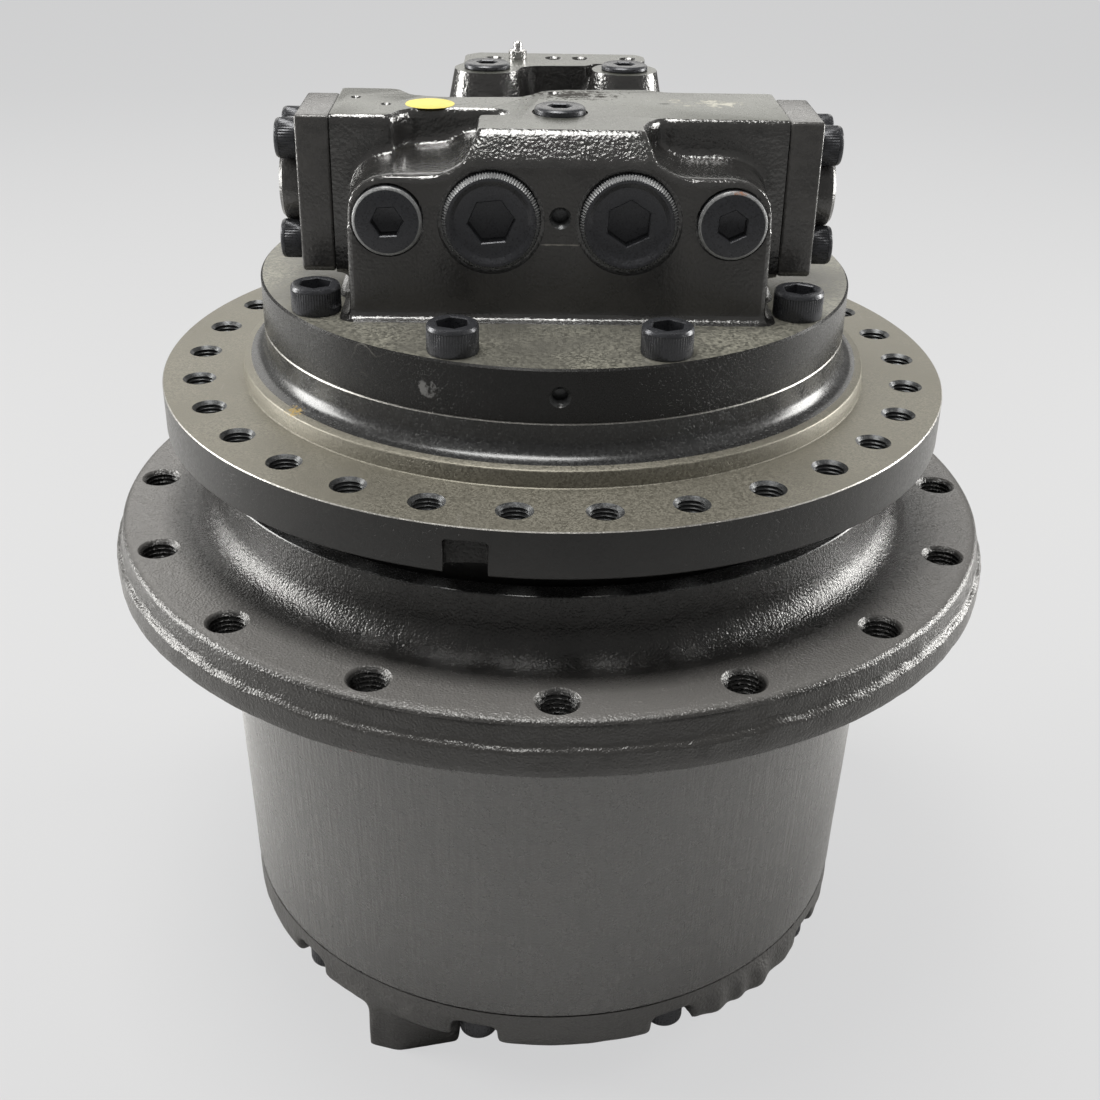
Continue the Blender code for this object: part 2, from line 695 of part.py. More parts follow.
def build_sprocket_hub():
    edge = SPROCKET_RADIUS
    mouth = HUB_MOUTH_RADIUS
    relief = clear_bore(RING_ROOT, TURN_STEPS)
    upper = Z_UPPER_BEARING
    lower_top = Z_LOWER_BEARING + BEARING_WIDTH
    neck_fillet = arc(
        NECK_RADIUS + NECK_FILLET, Z_SPROCKET_TOP + NECK_FILLET, NECK_FILLET, 180, 270, 3
    )
    parting = Z_SPROCKET_TOP - SPROCKET_THICKNESS / 2
    shelf = Z_TEETH_TOP + 0.005
    hub = turned(
        "sprocket_hub",
        [(mouth, Z_NECK), (NECK_RADIUS, Z_NECK)]
        + neck_fillet
        + [
            (edge - 0.009, Z_SPROCKET_TOP),
            (edge - 0.0055, Z_SPROCKET_TOP - 0.003),
            (edge - 0.003, parting),
            (edge, parting - 0.002),
            (edge, Z_SPROCKET),
            (DRUM_TOP_RADIUS + 0.006, Z_SPROCKET),
            (DRUM_TOP_RADIUS, Z_SPROCKET - 0.006),
            (DRUM_FOOT_RADIUS, Z_HUB),
            (relief, Z_HUB),
            (relief, Z_TEETH),
            (RING_TIP, Z_TEETH),
            (RING_TIP, Z_TEETH_TOP),
            (relief, Z_TEETH_TOP),
            (relief, shelf),
            (BEARING_BORE, shelf),
            (BEARING_BORE, lower_top),
            (SHOULDER_RADIUS, lower_top),
            (SHOULDER_RADIUS, upper),
            (BEARING_BORE, upper),
            (BEARING_BORE, Z_SEAL - SEAT_GAP),
            (mouth, Z_SEAL - SEAT_GAP),
        ],
        "cast",
    )
    teeth = plate("ring_teeth", [ring_space_outline()], Z_TEETH - 0.002, Z_TEETH_TOP + 0.003)
    holes = rods(
        "sprocket_holes",
        [
            polar(SPROCKET_BOLT_CIRCLE_RADIUS, 360.0 / SPROCKET_BOLTS * i, Z_SPROCKET - CUT_OVERSHOOT)
            for i in range(SPROCKET_BOLTS)
        ],
        SPROCKET_HOLE_RADIUS,
        SPROCKET_THICKNESS + 2 * CUT_OVERSHOOT,
        sides=HOLE_SIDES,
    )
    cut(hub, teeth, holes)


def build_spindle():
    seal_inner = SEAL_INNER_RADIUS - SEAL_ROOM
    seal_outer = SEAL_INNER_RADIUS + SEAL_WIDTH + SEAL_ROOM
    skirt = seal_outer + SEAL_ROOM
    seal_top = Z_SEAL + 2 * SEAL_RING_HEIGHT + 2 * SEAT_GAP
    skirt_low = Z_SEAL + SEAL_ROOM
    shoulder = Z_UPPER_BEARING + BEARING_WIDTH + SEAT_GAP
    step = JOURNAL_RADIUS + NUT_WIDTH - 0.003
    cove = arc(
        MOTOR_RADIUS + COVE_RADIUS, Z_SPIGOT + 0.001 + COVE_RADIUS, COVE_RADIUS, 180, 270, 2
    )
    spindle = turned(
        "spindle_housing",
        [(CASE_RADIUS, Z_SPINDLE_TOP), (MOTOR_RADIUS, Z_SPINDLE_TOP)]
        + cove
        + [
            (SPIGOT_RADIUS - SPIGOT_TAPER, Z_SPIGOT),
            (SPIGOT_RADIUS, Z_FRAME_TOP),
            (FRAME_RADIUS - FRAME_EDGE, Z_FRAME_TOP),
            (FRAME_RADIUS, Z_FRAME_TOP - FRAME_EDGE),
            (FRAME_RADIUS, Z_FRAME),
            (skirt + SEAL_ROOM, Z_FRAME),
            (skirt, Z_FRAME - SEAL_ROOM),
            (skirt, skirt_low),
            (seal_outer, skirt_low),
            (seal_outer, seal_top),
            (seal_inner, seal_top),
            (seal_inner, skirt_low),
            (step, skirt_low),
            (step, shoulder),
            (JOURNAL_RADIUS, shoulder),
            (JOURNAL_RADIUS, Z_SPINDLE),
            (SEAL_BORE_RADIUS, Z_SPINDLE),
            (SEAL_BORE_RADIUS, Z_CASE - BEARING_SEAT_DEPTH),
            (BEARING_SEAT_RADIUS, Z_CASE - BEARING_SEAT_DEPTH),
            (BEARING_SEAT_RADIUS, Z_CASE),
            (CASE_RADIUS - BRAKE_LEDGE_WIDTH, Z_CASE),
            (CASE_RADIUS - BRAKE_LEDGE_WIDTH, Z_LEDGE),
            (CASE_RADIUS, Z_LEDGE),
        ],
        "flange",
    )
    half_step = 180.0 / FRAME_BOLTS
    frame_holes = rods(
        "frame_holes",
        [
            polar(FRAME_BOLT_CIRCLE_RADIUS, half_step + 2 * half_step * i, Z_FRAME - CUT_OVERSHOOT)
            for i in range(FRAME_BOLTS)
        ],
        FRAME_HOLE_RADIUS,
        FRAME_THICKNESS + 2 * CUT_OVERSHOOT,
        sides=FRAME_HOLE_SIDES,
    )
    bolt_bore_depth = MOTOR_BOLT_GRIP + MOTOR_BOLT_RADIUS / 2
    motor_holes = rods(
        "motor_bolt_bores",
        [
            polar(MOTOR_BOLT_CIRCLE_RADIUS, angle, Z_SPINDLE_TOP - bolt_bore_depth)
            for angle in MOTOR_BOLT_ANGLES
        ],
        clear_bore(MOTOR_BOLT_RADIUS, HOLE_SIDES, SEAT_GAP),
        bolt_bore_depth + CUT_OVERSHOOT,
        sides=HOLE_SIDES,
    )
    pin_holes = rods(
        "spindle_pin_seats",
        [(*planet_centre(angle), Z_SPINDLE - CUT_OVERSHOOT) for angle in PLANET_ANGLES],
        clear_bore(PIN_RADIUS, SMALL_STEPS, SEAT_GAP),
        PIN_SEAT_DEPTH + CUT_OVERSHOOT + 0.001,
    )
    notch_angle = math.degrees(math.asin(FRAME_NOTCH_X / FRAME_RADIUS))
    notch_y = polar(FRAME_RADIUS, notch_angle)[1]
    notch = box(
        "frame_notch",
        (
            FRAME_NOTCH_X - FRAME_NOTCH_WIDTH / 2,
            notch_y - FRAME_NOTCH_DEPTH,
            Z_FRAME - CUT_OVERSHOOT,
        ),
        (
            FRAME_NOTCH_X + FRAME_NOTCH_WIDTH / 2,
            notch_y + FRAME_NOTCH_DEPTH,
            Z_FRAME + FRAME_NOTCH_HEIGHT,
        ),
    )
    cut(spindle, frame_holes, motor_holes, pin_holes, notch)


def roller_outline(middle, side):
    """One side of the cage, standing out where each roller passes through it."""
    points = []
    for i in range(2 * ROLLERS):
        angle = math.pi * i / ROLLERS
        reach = middle + side * (CAGE_HALF_WIDTH if i % 2 else ROLLER_RADIUS)
        points.append((reach * math.cos(angle), reach * math.sin(angle)))
    return points


def build_main_bearings():
    middle = (JOURNAL_RADIUS + BEARING_BORE) / 2
    journal = clear_bore(JOURNAL_RADIUS, INNER_STEPS, SEAT_GAP)
    housing = fit_inside(BEARING_BORE, TURN_STEPS)
    for level, z in (("lower", Z_LOWER_BEARING), ("upper", Z_UPPER_BEARING)):
        low = z + SEAT_GAP
        height = BEARING_WIDTH - 2 * SEAT_GAP
        turned(
            f"main_bearing_inner_{level}",
            ring_profile(journal, middle - ROLLER_RADIUS - RUN_GAP, low, height),
            "bearing",
            steps=INNER_STEPS,
        )
        turned(
            f"main_bearing_outer_{level}",
            ring_profile(
                clear_bore(middle + ROLLER_RADIUS, INNER_STEPS), housing, low, height
            ),
            "bearing",
            steps=INNER_STEPS,
        )
        plate(
            f"main_bearing_rollers_{level}",
            [roller_outline(middle, 1), roller_outline(middle, -1)],
            low + 0.003,
            low + height - 0.003,
            "bronze",
        )


def build_bearing_nut():
    journal = clear_bore(JOURNAL_RADIUS, INNER_STEPS, SEAT_GAP)
    turned(
        "bearing_nut",
        ring_profile(journal, NUT_RADIUS, Z_LOWER_BEARING - NUT_THICKNESS, NUT_THICKNESS),
        "gear",
        steps=INNER_STEPS,
    )


def build_face_seal():
    inner = SEAL_INNER_RADIUS
    outer = SEAL_INNER_RADIUS + SEAL_WIDTH
    low = Z_SEAL
    middle = Z_SEAL + SEAL_RING_HEIGHT
    turned(
        "seal_ring_rotating",
        [(inner, middle), (outer, middle), (outer - 0.004, low), (inner, low)],
        "bearing",
        steps=INNER_STEPS,
    )
    turned(
        "seal_ring_fixed",
        [
            (inner, middle + SEAL_RING_HEIGHT + SEAT_GAP),
            (outer - 0.004, middle + SEAL_RING_HEIGHT + SEAT_GAP),
            (outer, middle + SEAT_GAP),
            (inner, middle + SEAT_GAP),
        ],
        "bearing",
        steps=INNER_STEPS,
    )


def build_planet(name, angle, low, high):
    x, y = planet_centre(angle)
    bore = clear_bore(PIN_RADIUS, SMALL_STEPS)
    return plate(
        name,
        [planet_outline(angle), circle(bore, SMALL_STEPS)],
        low,
        high,
        "gear",
        centre=(x, y, 0),
    )


def build_gear_train():
    for number, angle in enumerate(PLANET_ANGLES, start=1):
        build_planet(f"first_planet_{number}", angle, Z_FIRST, Z_FIRST_TOP)
        build_planet(f"second_planet_{number}", angle, Z_SECOND, Z_SECOND_TOP)
        x, y = planet_centre(angle)
        pin_top = Z_SPINDLE + PIN_SEAT_DEPTH
        turned(
            f"second_planet_pin_{number}",
            [
                (0.0, pin_top),
                (PIN_RADIUS, pin_top),
                (PIN_RADIUS, Z_HOLDER + SEAT_GAP),
                (0.0, Z_HOLDER + SEAT_GAP),
            ],
            "gear",
            steps=SMALL_STEPS,
            location=(x, y, 0),
        )
    second_sun = plate(
        "second_sun",
        [sun_outline(), circle(SHAFT_RADIUS + 0.002, SMALL_STEPS)],
        Z_SECOND,
        Z_SECOND_TOP,
        "gear",
    )
    neck = SUN_PITCH - ROOT_DEPTH
    sleeve = turned(
        "second_sun_sleeve",
        [
            (SHAFT_RADIUS + 0.002, Z_SECOND + 0.002),
            (neck, Z_SECOND + 0.002),
            (neck, Z_CARRIER + 0.0005),
            (SHAFT_RADIUS + 0.002, Z_CARRIER + 0.0005),
        ],
        steps=SMALL_STEPS,
    )
    join(second_sun, sleeve)
    carrier = plate(
        "first_carrier",
        [
            circle(CARRIER_RADIUS, INNER_STEPS),
            circle(neck + SEAT_GAP, SMALL_STEPS),
        ],
        Z_CARRIER,
        Z_CARRIER_TOP,
        "gear",
    )
    pins = rods(
        "first_carrier_pins",
        [(*planet_centre(angle), Z_FIRST) for angle in PLANET_ANGLES],
        PIN_RADIUS,
        FIRST_WIDTH + STAGE_GAP + 0.004,
    )
    join(carrier, pins)


def build_planet_holder():
    sun_tip = SUN_PITCH + MODULE
    holder = plate(
        "planet_holder_plate",
        [circle(HOLDER_RADIUS, INNER_STEPS), circle(clear_bore(sun_tip, SMALL_STEPS), SMALL_STEPS)],
        Z_HOLDER,
        Z_HOLDER_TOP,
        "cast",
    )
    step = 180.0 / PLANETS
    posts = rods(
        "planet_holder_posts",
        [(*planet_centre(angle + step), Z_HOLDER_TOP - 0.003) for angle in PLANET_ANGLES],
        POST_RADIUS,
        Z_SPINDLE - SEAT_GAP - Z_HOLDER_TOP + 0.003,
    )
    seats = rods(
        "planet_holder_seats",
        [(*planet_centre(angle), Z_HOLDER - CUT_OVERSHOOT) for angle in PLANET_ANGLES],
        clear_bore(PIN_RADIUS, SMALL_STEPS, SEAT_GAP),
        HOLDER_THICKNESS + 2 * CUT_OVERSHOOT,
    )
    join(holder, posts)
    cut(holder, seats)


def build_drive_shaft():
    seat_low = Z_CASE - BEARING_SEAT_DEPTH
    shaft = turned(
        "drive_shaft",
        [
            (0.0, Z_ROTOR_TOP - 0.001),
            (SPLINE_RADIUS - 0.001, Z_ROTOR_TOP - 0.001),
            (SPLINE_RADIUS, Z_ROTOR_TOP - 0.002),
            (SPLINE_RADIUS, Z_ROTOR - 0.004),
            (SPLINE_RADIUS - 0.003, Z_ROTOR - 0.007),
            (SPLINE_RADIUS - 0.003, Z_CASE + 0.004),
            (SPLINE_RADIUS + 0.005, Z_CASE + 0.004),
            (SPLINE_RADIUS + 0.005, Z_CASE + SEAT_GAP),
            (SPLINE_RADIUS, Z_CASE + SEAT_GAP),
            (SPLINE_RADIUS, seat_low - 0.006),
            (SHAFT_RADIUS, seat_low - 0.008),
            (SHAFT_RADIUS, Z_FIRST),
            (0.0, Z_FIRST),
        ],
        "gear",
        steps=SMALL_STEPS,
    )
    first_sun = plate("first_sun_teeth", [sun_outline()], Z_FIRST + 0.0005, Z_FIRST_TOP)
    join(shaft, first_sun)


def build_shaft_bearing():
    low = Z_CASE - BEARING_SEAT_DEPTH + SEAT_GAP
    bore = clear_bore(SPLINE_RADIUS, SMALL_STEPS)
    outer = fit_inside(BEARING_SEAT_RADIUS, TURN_STEPS)
    turned(
        "shaft_bearing",
        ring_profile(bore, outer, low, Z_CASE - low),
        "bearing",
        steps=SMALL_STEPS,
    )


def build_motor():
    shaft_bore = clear_bore(SPLINE_RADIUS, INNER_STEPS, SEAT_GAP)
    block = turned(
        "cylinder_block",
        [
            (shaft_bore, Z_ROTOR_TOP),
            (BLOCK_RADIUS, Z_ROTOR_TOP),
            (BLOCK_RADIUS, Z_ROTOR + 0.003),
            (BLOCK_RADIUS - 0.003, Z_ROTOR),
            (shaft_bore, Z_ROTOR),
        ],
        "bronze",
        steps=INNER_STEPS,
    )
    pistons = rods(
        "piston_ends",
        [
            polar(PISTON_CIRCLE_RADIUS, 360.0 / PISTONS * i, Z_ROTOR - PISTON_PROUD)
            for i in range(PISTONS)
        ],
        PISTON_RADIUS,
        PISTON_PROUD + 0.002,
        sides=HOLE_SIDES,
    )
    join(block, pistons)
    low = Z_ROTOR_TOP + SEAT_GAP
    turned(
        "valve_plate",
        ring_profile(SPLINE_RADIUS + 0.002, BLOCK_RADIUS, low, Z_SPINDLE_TOP - low),
        "gear",
        steps=INNER_STEPS,
    )
    build_swash_plate()


def build_swash_plate():
    """The plate that the pistons push on, tilted about X and carried by two half rounds."""
    pivot = (0, 0, Z_SWASH)
    hole = SPLINE_RADIUS + SWASH_HOLE_MARGIN
    swash = turned(
        "swash_plate",
        [
            (hole, SWASH_THICKNESS / 2),
            (SWASH_RADIUS, SWASH_THICKNESS / 2),
            (SWASH_RADIUS, -SWASH_THICKNESS / 2),
            (hole, -SWASH_THICKNESS / 2),
        ],
        "gear",
        steps=INNER_STEPS,
        location=pivot,
        rotation=(SWASH_TILT, 0, 0),
    )
    half_round = arc(0.0, 0.0, SWASH_LIFT - 2 * SEAT_GAP, 180.0, 360.0, 8)
    width = SWASH_RADIUS * CRADLE_SHARE
    for side in (-1, 1):
        near = side * (hole + 0.001)
        far = side * (hole + 0.001 + width)
        cradle = plate(
            "swash_cradle_" + ("left" if side < 0 else "right"),
            [half_round],
            min(near, far),
            max(near, far),
            axis="X",
        )
        cradle.location = pivot
        join(swash, cradle)


def build_brake():
    steel_low = Z_LEDGE + SEAT_GAP
    friction_low = steel_low + BRAKE_PLATE_THICKNESS + SEAT_GAP
    piston_low = friction_low + BRAKE_PLATE_THICKNESS + SEAT_GAP
    piston_top = piston_low + BRAKE_PISTON_HEIGHT
    outer = fit_inside(CASE_RADIUS, TURN_STEPS)
    turned(
        "brake_steel_plate",
        ring_profile(BLOCK_RADIUS + 0.004, outer, steel_low, BRAKE_PLATE_THICKNESS),
        "gear",
        steps=INNER_STEPS,
    )
    turned(
        "brake_friction_plate",
        ring_profile(
            clear_bore(BLOCK_RADIUS, INNER_STEPS, SEAT_GAP),
            outer - 0.002,
            friction_low,
            BRAKE_PLATE_THICKNESS,
        ),
        "bronze",
        steps=INNER_STEPS,
    )
    turned(
        "brake_piston",
        ring_profile(BLOCK_RADIUS + 0.006, outer, piston_low, BRAKE_PISTON_HEIGHT),
        "gear",
        steps=INNER_STEPS,
    )
    for number, angle in enumerate((90.0, 270.0), start=1):
        x, y, _ = polar((BLOCK_RADIUS + CASE_RADIUS) / 2 + 0.002, angle)
        build_spring(
            f"brake_spring_{number}",
            (x, y),
            piston_top + SEAT_GAP,
            Z_MOTOR - SEAT_GAP,
        )


def ring_profile(inner, outer, low, height):
    return [(inner, low + height), (outer, low + height), (outer, low), (inner, low)]


def build_spring(name, centre, low, high):
    """A coil spring along Z, its wire kept inside the two heights."""
    curve = bpy.data.curves.new(name, "CURVE")
    curve.dimensions = "3D"
    curve.bevel_depth = BRAKE_WIRE_RADIUS
    curve.bevel_resolution = 0
    curve.use_fill_caps = True
    spline = curve.splines.new("POLY")
    per_turn = 5
    count = BRAKE_SPRING_TURNS * per_turn
    spline.points.add(count)
    bottom = low + BRAKE_WIRE_RADIUS
    rise = high - low - 2 * BRAKE_WIRE_RADIUS
    for i, point in enumerate(spline.points):
        angle = 2 * math.pi * i / per_turn
        point.co = (
            BRAKE_SPRING_RADIUS * math.cos(angle),
            BRAKE_SPRING_RADIUS * math.sin(angle),
            bottom + rise * i / count,
            1,
        )
    place(name, curve, "gear", location=(*centre, 0))


def front_outline():
    """Outline of the casting behind the front face, seen from the front."""
    shoulder = PORT_LIFT + SHOULDER_RISE
    crest = shoulder + CREST_RISE
    boss = BLOCK_HALF_WIDTH - CHECK_X
    right = (
        [(BLOCK_HALF_WIDTH, -0.002), (BLOCK_HALF_WIDTH, PORT_LIFT)]
        + arc(CHECK_X, PORT_LIFT + SHOULDER_RISE - boss, boss, 18.0, 90.0, 4)
        + [
            (BULGE_HALF_WIDTH + 0.014, shoulder),
            (BULGE_HALF_WIDTH + 0.006, shoulder + 0.0025),
            (BULGE_HALF_WIDTH, crest),
        ]
    )
    left = [(-x, z) for x, z in reversed(right)]
    return [(x, Z_MOTOR_TOP + z) for x, z in right + left]


def top_outline():
    """Outline of the machined top face: two arms, the front bulge and the recesses."""
    corner = 0.004
    bulge_top = BULGE_HALF_WIDTH - 0.006
    recess = ARM_HALF_WIDTH - 0.030
    recess_end = ARM_FRONT + 0.018
    dip = ARM_BACK - 0.0185
    return [
        (-ARM_HALF_WIDTH, ARM_FRONT),
        (-recess, ARM_FRONT),
        (-recess + 0.005, recess_end - 0.0055),
        (-recess + 0.011, recess_end - 0.0015),
        (-BULGE_HALF_WIDTH + 0.009, recess_end),
        (-BULGE_HALF_WIDTH + 0.017, recess_end - 0.0065),
        (-BULGE_HALF_WIDTH + 0.012, ARM_FRONT - 0.0015),
        (-BULGE_HALF_WIDTH + 0.002, ARM_FRONT - 0.0075),
        (-bulge_top, BULGE_FRONT),
        (bulge_top, BULGE_FRONT),
        (BULGE_HALF_WIDTH, ARM_FRONT - 0.0055),
        (BULGE_HALF_WIDTH + 0.007, ARM_FRONT),
        (ARM_HALF_WIDTH, ARM_FRONT),
        (ARM_HALF_WIDTH, ARM_BACK - corner),
        (ARM_HALF_WIDTH - corner, ARM_BACK),
        (-0.010, ARM_BACK),
        (-0.017, dip + 0.003),
        (-recess + 0.023, dip),
        (-recess + 0.005, dip + 0.004),
        (-recess - 0.001, ARM_BACK),
        (-ARM_HALF_WIDTH + corner, ARM_BACK),
        (-ARM_HALF_WIDTH, ARM_BACK - corner),
    ]


def rear_outline():
    """Outline of the low casting behind the arms."""
    corner = 0.018
    side = REAR_HALF_WIDTH
    return [
        (-side, ARM_BACK - 0.012),
        (side, ARM_BACK - 0.012),
        (side, REAR_BACK - corner),
        (side - corner, REAR_BACK),
        (-side + corner, REAR_BACK),
        (-side, REAR_BACK - corner),
    ]


def port_block_outline():
    """Outline of the raised pad at the rear, seen from above."""
    side = PORT_BLOCK_HALF_WIDTH
    back = REAR_BACK - 0.0008
    return [
        (-side, PORT_BLOCK_FRONT - 0.010),
        (-0.020, PORT_BLOCK_FRONT - 0.0125),
        (-0.014, PORT_BLOCK_FRONT - 0.008),
        (0.016, PORT_BLOCK_FRONT - 0.007),
        (0.021, PORT_BLOCK_FRONT),
        (side - 0.004, PORT_BLOCK_FRONT + 0.004),
        (side, PORT_BLOCK_FRONT + 0.009),
        (side, back - 0.006),
        (side - 0.006, back),
        (-side + 0.008, back),
        (-side, back - 0.008),
    ]


def bulge_bevel_outline():
    """Side view of the slope between the front face and the top of the bulge."""
    crest = Z_PORTS + SHOULDER_RISE + CREST_RISE - 0.002
    return [
        (BLOCK_FRONT + 0.0005, crest - 0.010),
        (ARM_FRONT - 0.0035, crest - 0.010),
        (ARM_FRONT - 0.0035, Z_BLOCK_TOP - 0.002),
        (BULGE_FRONT + 0.0005, Z_BLOCK_TOP - 0.0003),
        (BLOCK_FRONT + 0.0005, crest),
    ]


FRONT_PLUGS = {
    "relief_plug_left": (-RELIEF_X, RELIEF_RADIUS, RELIEF_HEX),
    "relief_plug_right": (RELIEF_X, RELIEF_RADIUS, RELIEF_HEX),
    "check_plug_left": (-CHECK_X, CHECK_RADIUS, CHECK_HEX),
    "check_plug_right": (CHECK_X, CHECK_RADIUS, CHECK_HEX),
}


def build_plug(name, head_radius, shank_radius, head_height, hexagon, recess, steps, **where):
    """A socket plug standing on z = 0, with its thread below and a shallow dished face."""
    rim = head_radius - 0.0012
    profile = [(0.0, head_height), (rim, head_height)]
    if recess:
        profile = [
            (0.0, head_height - recess),
            (head_radius * 0.80, head_height - recess),
            (head_radius * 0.86, head_height),
            (rim, head_height),
        ]
    profile += [
        (head_radius, head_height - 0.0012),
        (head_radius, SEAT_GAP),
        (shank_radius, SEAT_GAP),
        (shank_radius, -PLUG_THREAD_LENGTH),
        (0.0, -PLUG_THREAD_LENGTH),
    ]
    plug = turned(name, profile, "bolt", steps=steps, **where)
    socket = rods(
        name + "_socket", [(0, 0, head_height * 0.25)], hexagon / math.sqrt(3), 0.020, sides=6
    )
    socket.location = where["location"]
    socket.rotation_euler = where.get("rotation", (0, 0, 0))
    cut(plug, socket)


def build_block_plugs():
    """The plugs, and the bars that cut their counterbores and their threaded holes."""
    outward = (math.pi / 2, 0, 0)
    front_steps = SMALL_STEPS + 4
    seat_y = BLOCK_FRONT + PLUG_SINK
    bore_depth = PLUG_THREAD_LENGTH + 0.002
    wide = []
    narrow = []
    for name, (x, radius, hexagon) in FRONT_PLUGS.items():
        shank = radius * PLUG_SHANK_SHARE
        margin = SPOT_MARGIN if radius == RELIEF_RADIUS else SPOT_MARGIN / 2
        wide.append(
            ((x, seat_y, Z_PORTS), radius + margin, PLUG_SINK + CUT_OVERSHOOT, "-Y", front_steps)
        )
        narrow.append(
            (
                (x, seat_y + bore_depth, Z_PORTS),
                clear_bore(shank, front_steps, SEAT_GAP),
                bore_depth + CUT_OVERSHOOT,
                "-Y",
                front_steps,
            )
        )
        build_plug(
            name,
            radius,
            shank,
            PLUG_SINK + PLUG_PROUD,
            hexagon,
            RELIEF_RECESS if radius == RELIEF_RADIUS else 0.0,
            front_steps,
            location=(x, seat_y, Z_PORTS),
            rotation=outward,
        )
    uprights = {
        "top_port_plug": (0.0, TOP_PLUG_Y, TOP_PLUG_RADIUS, Z_BLOCK_TOP - PLUG_SINK),
        "rear_plug_left": (-BOSS_X, BOSS_Y, REAR_PLUG_RADIUS, Z_BLOCK_TOP),
        "rear_plug_right": (BOSS_X, BOSS_Y, REAR_PLUG_RADIUS, Z_BLOCK_TOP),
    }
    for name, (x, y, radius, seat) in uprights.items():
        shank = radius * PLUG_SHANK_SHARE
        narrow.append(
            (
                (x, y, seat - bore_depth),
                clear_bore(shank, SMALL_STEPS, SEAT_GAP),
                bore_depth + PLUG_SINK + CUT_OVERSHOOT,
                "Z",
                SMALL_STEPS,
            )
        )
        build_plug(
            name,
            radius,
            shank,
            Z_BLOCK_TOP + PLUG_PROUD - seat,
            TOP_PLUG_HEX,
            0.0,
            SMALL_STEPS,
            location=(x, y, seat),
        )
    wide.append(
        (
            (0.0, TOP_PLUG_Y, Z_BLOCK_TOP - PLUG_SINK),
            clear_bore(TOP_PLUG_RADIUS, SMALL_STEPS, 0.001),
            PLUG_SINK + CUT_OVERSHOOT,
            "Z",
            SMALL_STEPS,
        )
    )
    return wide, narrow


def build_bleed_fitting():
    """The small nipple on the rear pad, and the bar that cuts its hole."""
    shank = BLEED_THREAD_RADIUS
    neck = BLEED_RADIUS * 0.5
    turned(
        "bleed_fitting",
        [
            (0.0, BLEED_HEIGHT),
            (neck * 0.9, BLEED_HEIGHT),
            (neck, BLEED_HEIGHT * 0.6),
            (BLEED_RADIUS, BLEED_HEIGHT * 0.5),
            (BLEED_RADIUS, SEAT_GAP),
            (shank, SEAT_GAP),
            (shank, -BLEED_THREAD_LENGTH),
            (0.0, -BLEED_THREAD_LENGTH),
        ],
        "bearing",
        steps=HOLE_SIDES,
        location=(BLEED_X, BLEED_Y, Z_BLOCK_TOP),
    )
    depth = BLEED_THREAD_LENGTH + 0.002
    spot = (BLEED_X, BLEED_Y, Z_BLOCK_TOP - depth)
    return (spot, clear_bore(shank, HOLE_SIDES, SEAT_GAP), depth + CUT_OVERSHOOT, "Z", HOLE_SIDES)


def build_motor_bolts():
    """The bolts of the motor flange, and the bars that cut their holes."""
    spots = [polar(MOTOR_BOLT_CIRCLE_RADIUS, angle) for angle in MOTOR_BOLT_ANGLES]
    foot = -MOTOR_THICKNESS - MOTOR_BOLT_GRIP
    for number, (x, y, _) in enumerate(spots, start=1):
        bolt = turned(
            f"motor_bolt_{number}",
            [
                (0.0, MOTOR_BOLT_HEAD_HEIGHT),
                (MOTOR_BOLT_HEAD_RADIUS, MOTOR_BOLT_HEAD_HEIGHT),
                (MOTOR_BOLT_HEAD_RADIUS, SEAT_GAP),
                (MOTOR_BOLT_RADIUS, SEAT_GAP),
                (MOTOR_BOLT_RADIUS, foot),
                (0.0, foot),
            ],
            "bolt",
            steps=SMALL_STEPS,
            location=(x, y, Z_MOTOR_TOP),
        )
        socket = rods(
            f"motor_bolt_socket_{number}",
            [(x, y, Z_MOTOR_TOP + MOTOR_BOLT_HEAD_HEIGHT * 0.45)],
            MOTOR_BOLT_HEX / math.sqrt(3),
            MOTOR_BOLT_HEAD_HEIGHT,
            sides=6,
        )
        cut(bolt, socket)
    bore = clear_bore(MOTOR_BOLT_RADIUS, HOLE_SIDES, SEAT_GAP)
    length = MOTOR_THICKNESS + 2 * CUT_OVERSHOOT
    return [((x, y, Z_MOTOR - CUT_OVERSHOOT), bore, length, "Z", HOLE_SIDES) for x, y, _ in spots]


def build_side_cover(name, side):
    """The plate that closes one end of the spool bore, with its cap and four bolt heads."""
    inner = ARM_HALF_WIDTH + SEAT_GAP
    outer = inner + SIDE_COVER_THICKNESS
    half_depth = SPOOL_Y - ARM_FRONT
    low = Z_ARM
    high = Z_BLOCK_TOP - 0.0005
    corner = 0.003
    outline = [
        (SPOOL_Y - half_depth, low + corner),
        (SPOOL_Y - half_depth + corner, low),
        (SPOOL_Y + half_depth - corner, low),
        (SPOOL_Y + half_depth, low + corner),
        (SPOOL_Y + half_depth, high),
        (SPOOL_Y - half_depth, high),
    ]
    left, right = sorted((side * inner, side * outer))
    cover = plate(name, [outline], left, right, "gloss", axis="X")
    axis = "X" if side > 0 else "-X"
    start = side * (outer - 0.002)
    cap = rods(
        name + "_cap",
        [(start, SPOOL_Y, Z_PORTS)],
        SIDE_COVER_CAP_RADIUS,
        SIDE_COVER_CAP_HEIGHT + 0.002,
        axis=axis,
        sides=SMALL_STEPS + 4,
        top=SIDE_COVER_CAP_RADIUS - 0.0015,
    )
    reach_y = half_depth - SIDE_BOLT_INSET
    reach_z = (high - low) / 2 - SIDE_BOLT_INSET
    middle = (high + low) / 2
    heads = rods(
        name + "_bolt_heads",
        [
            (start, SPOOL_Y + y, middle + z)
            for y in (-reach_y, reach_y)
            for z in (-reach_z, reach_z)
        ],
        SIDE_BOLT_RADIUS,
        SIDE_BOLT_HEIGHT + 0.002,
        axis=axis,
    )
    join(cover, cap, heads)


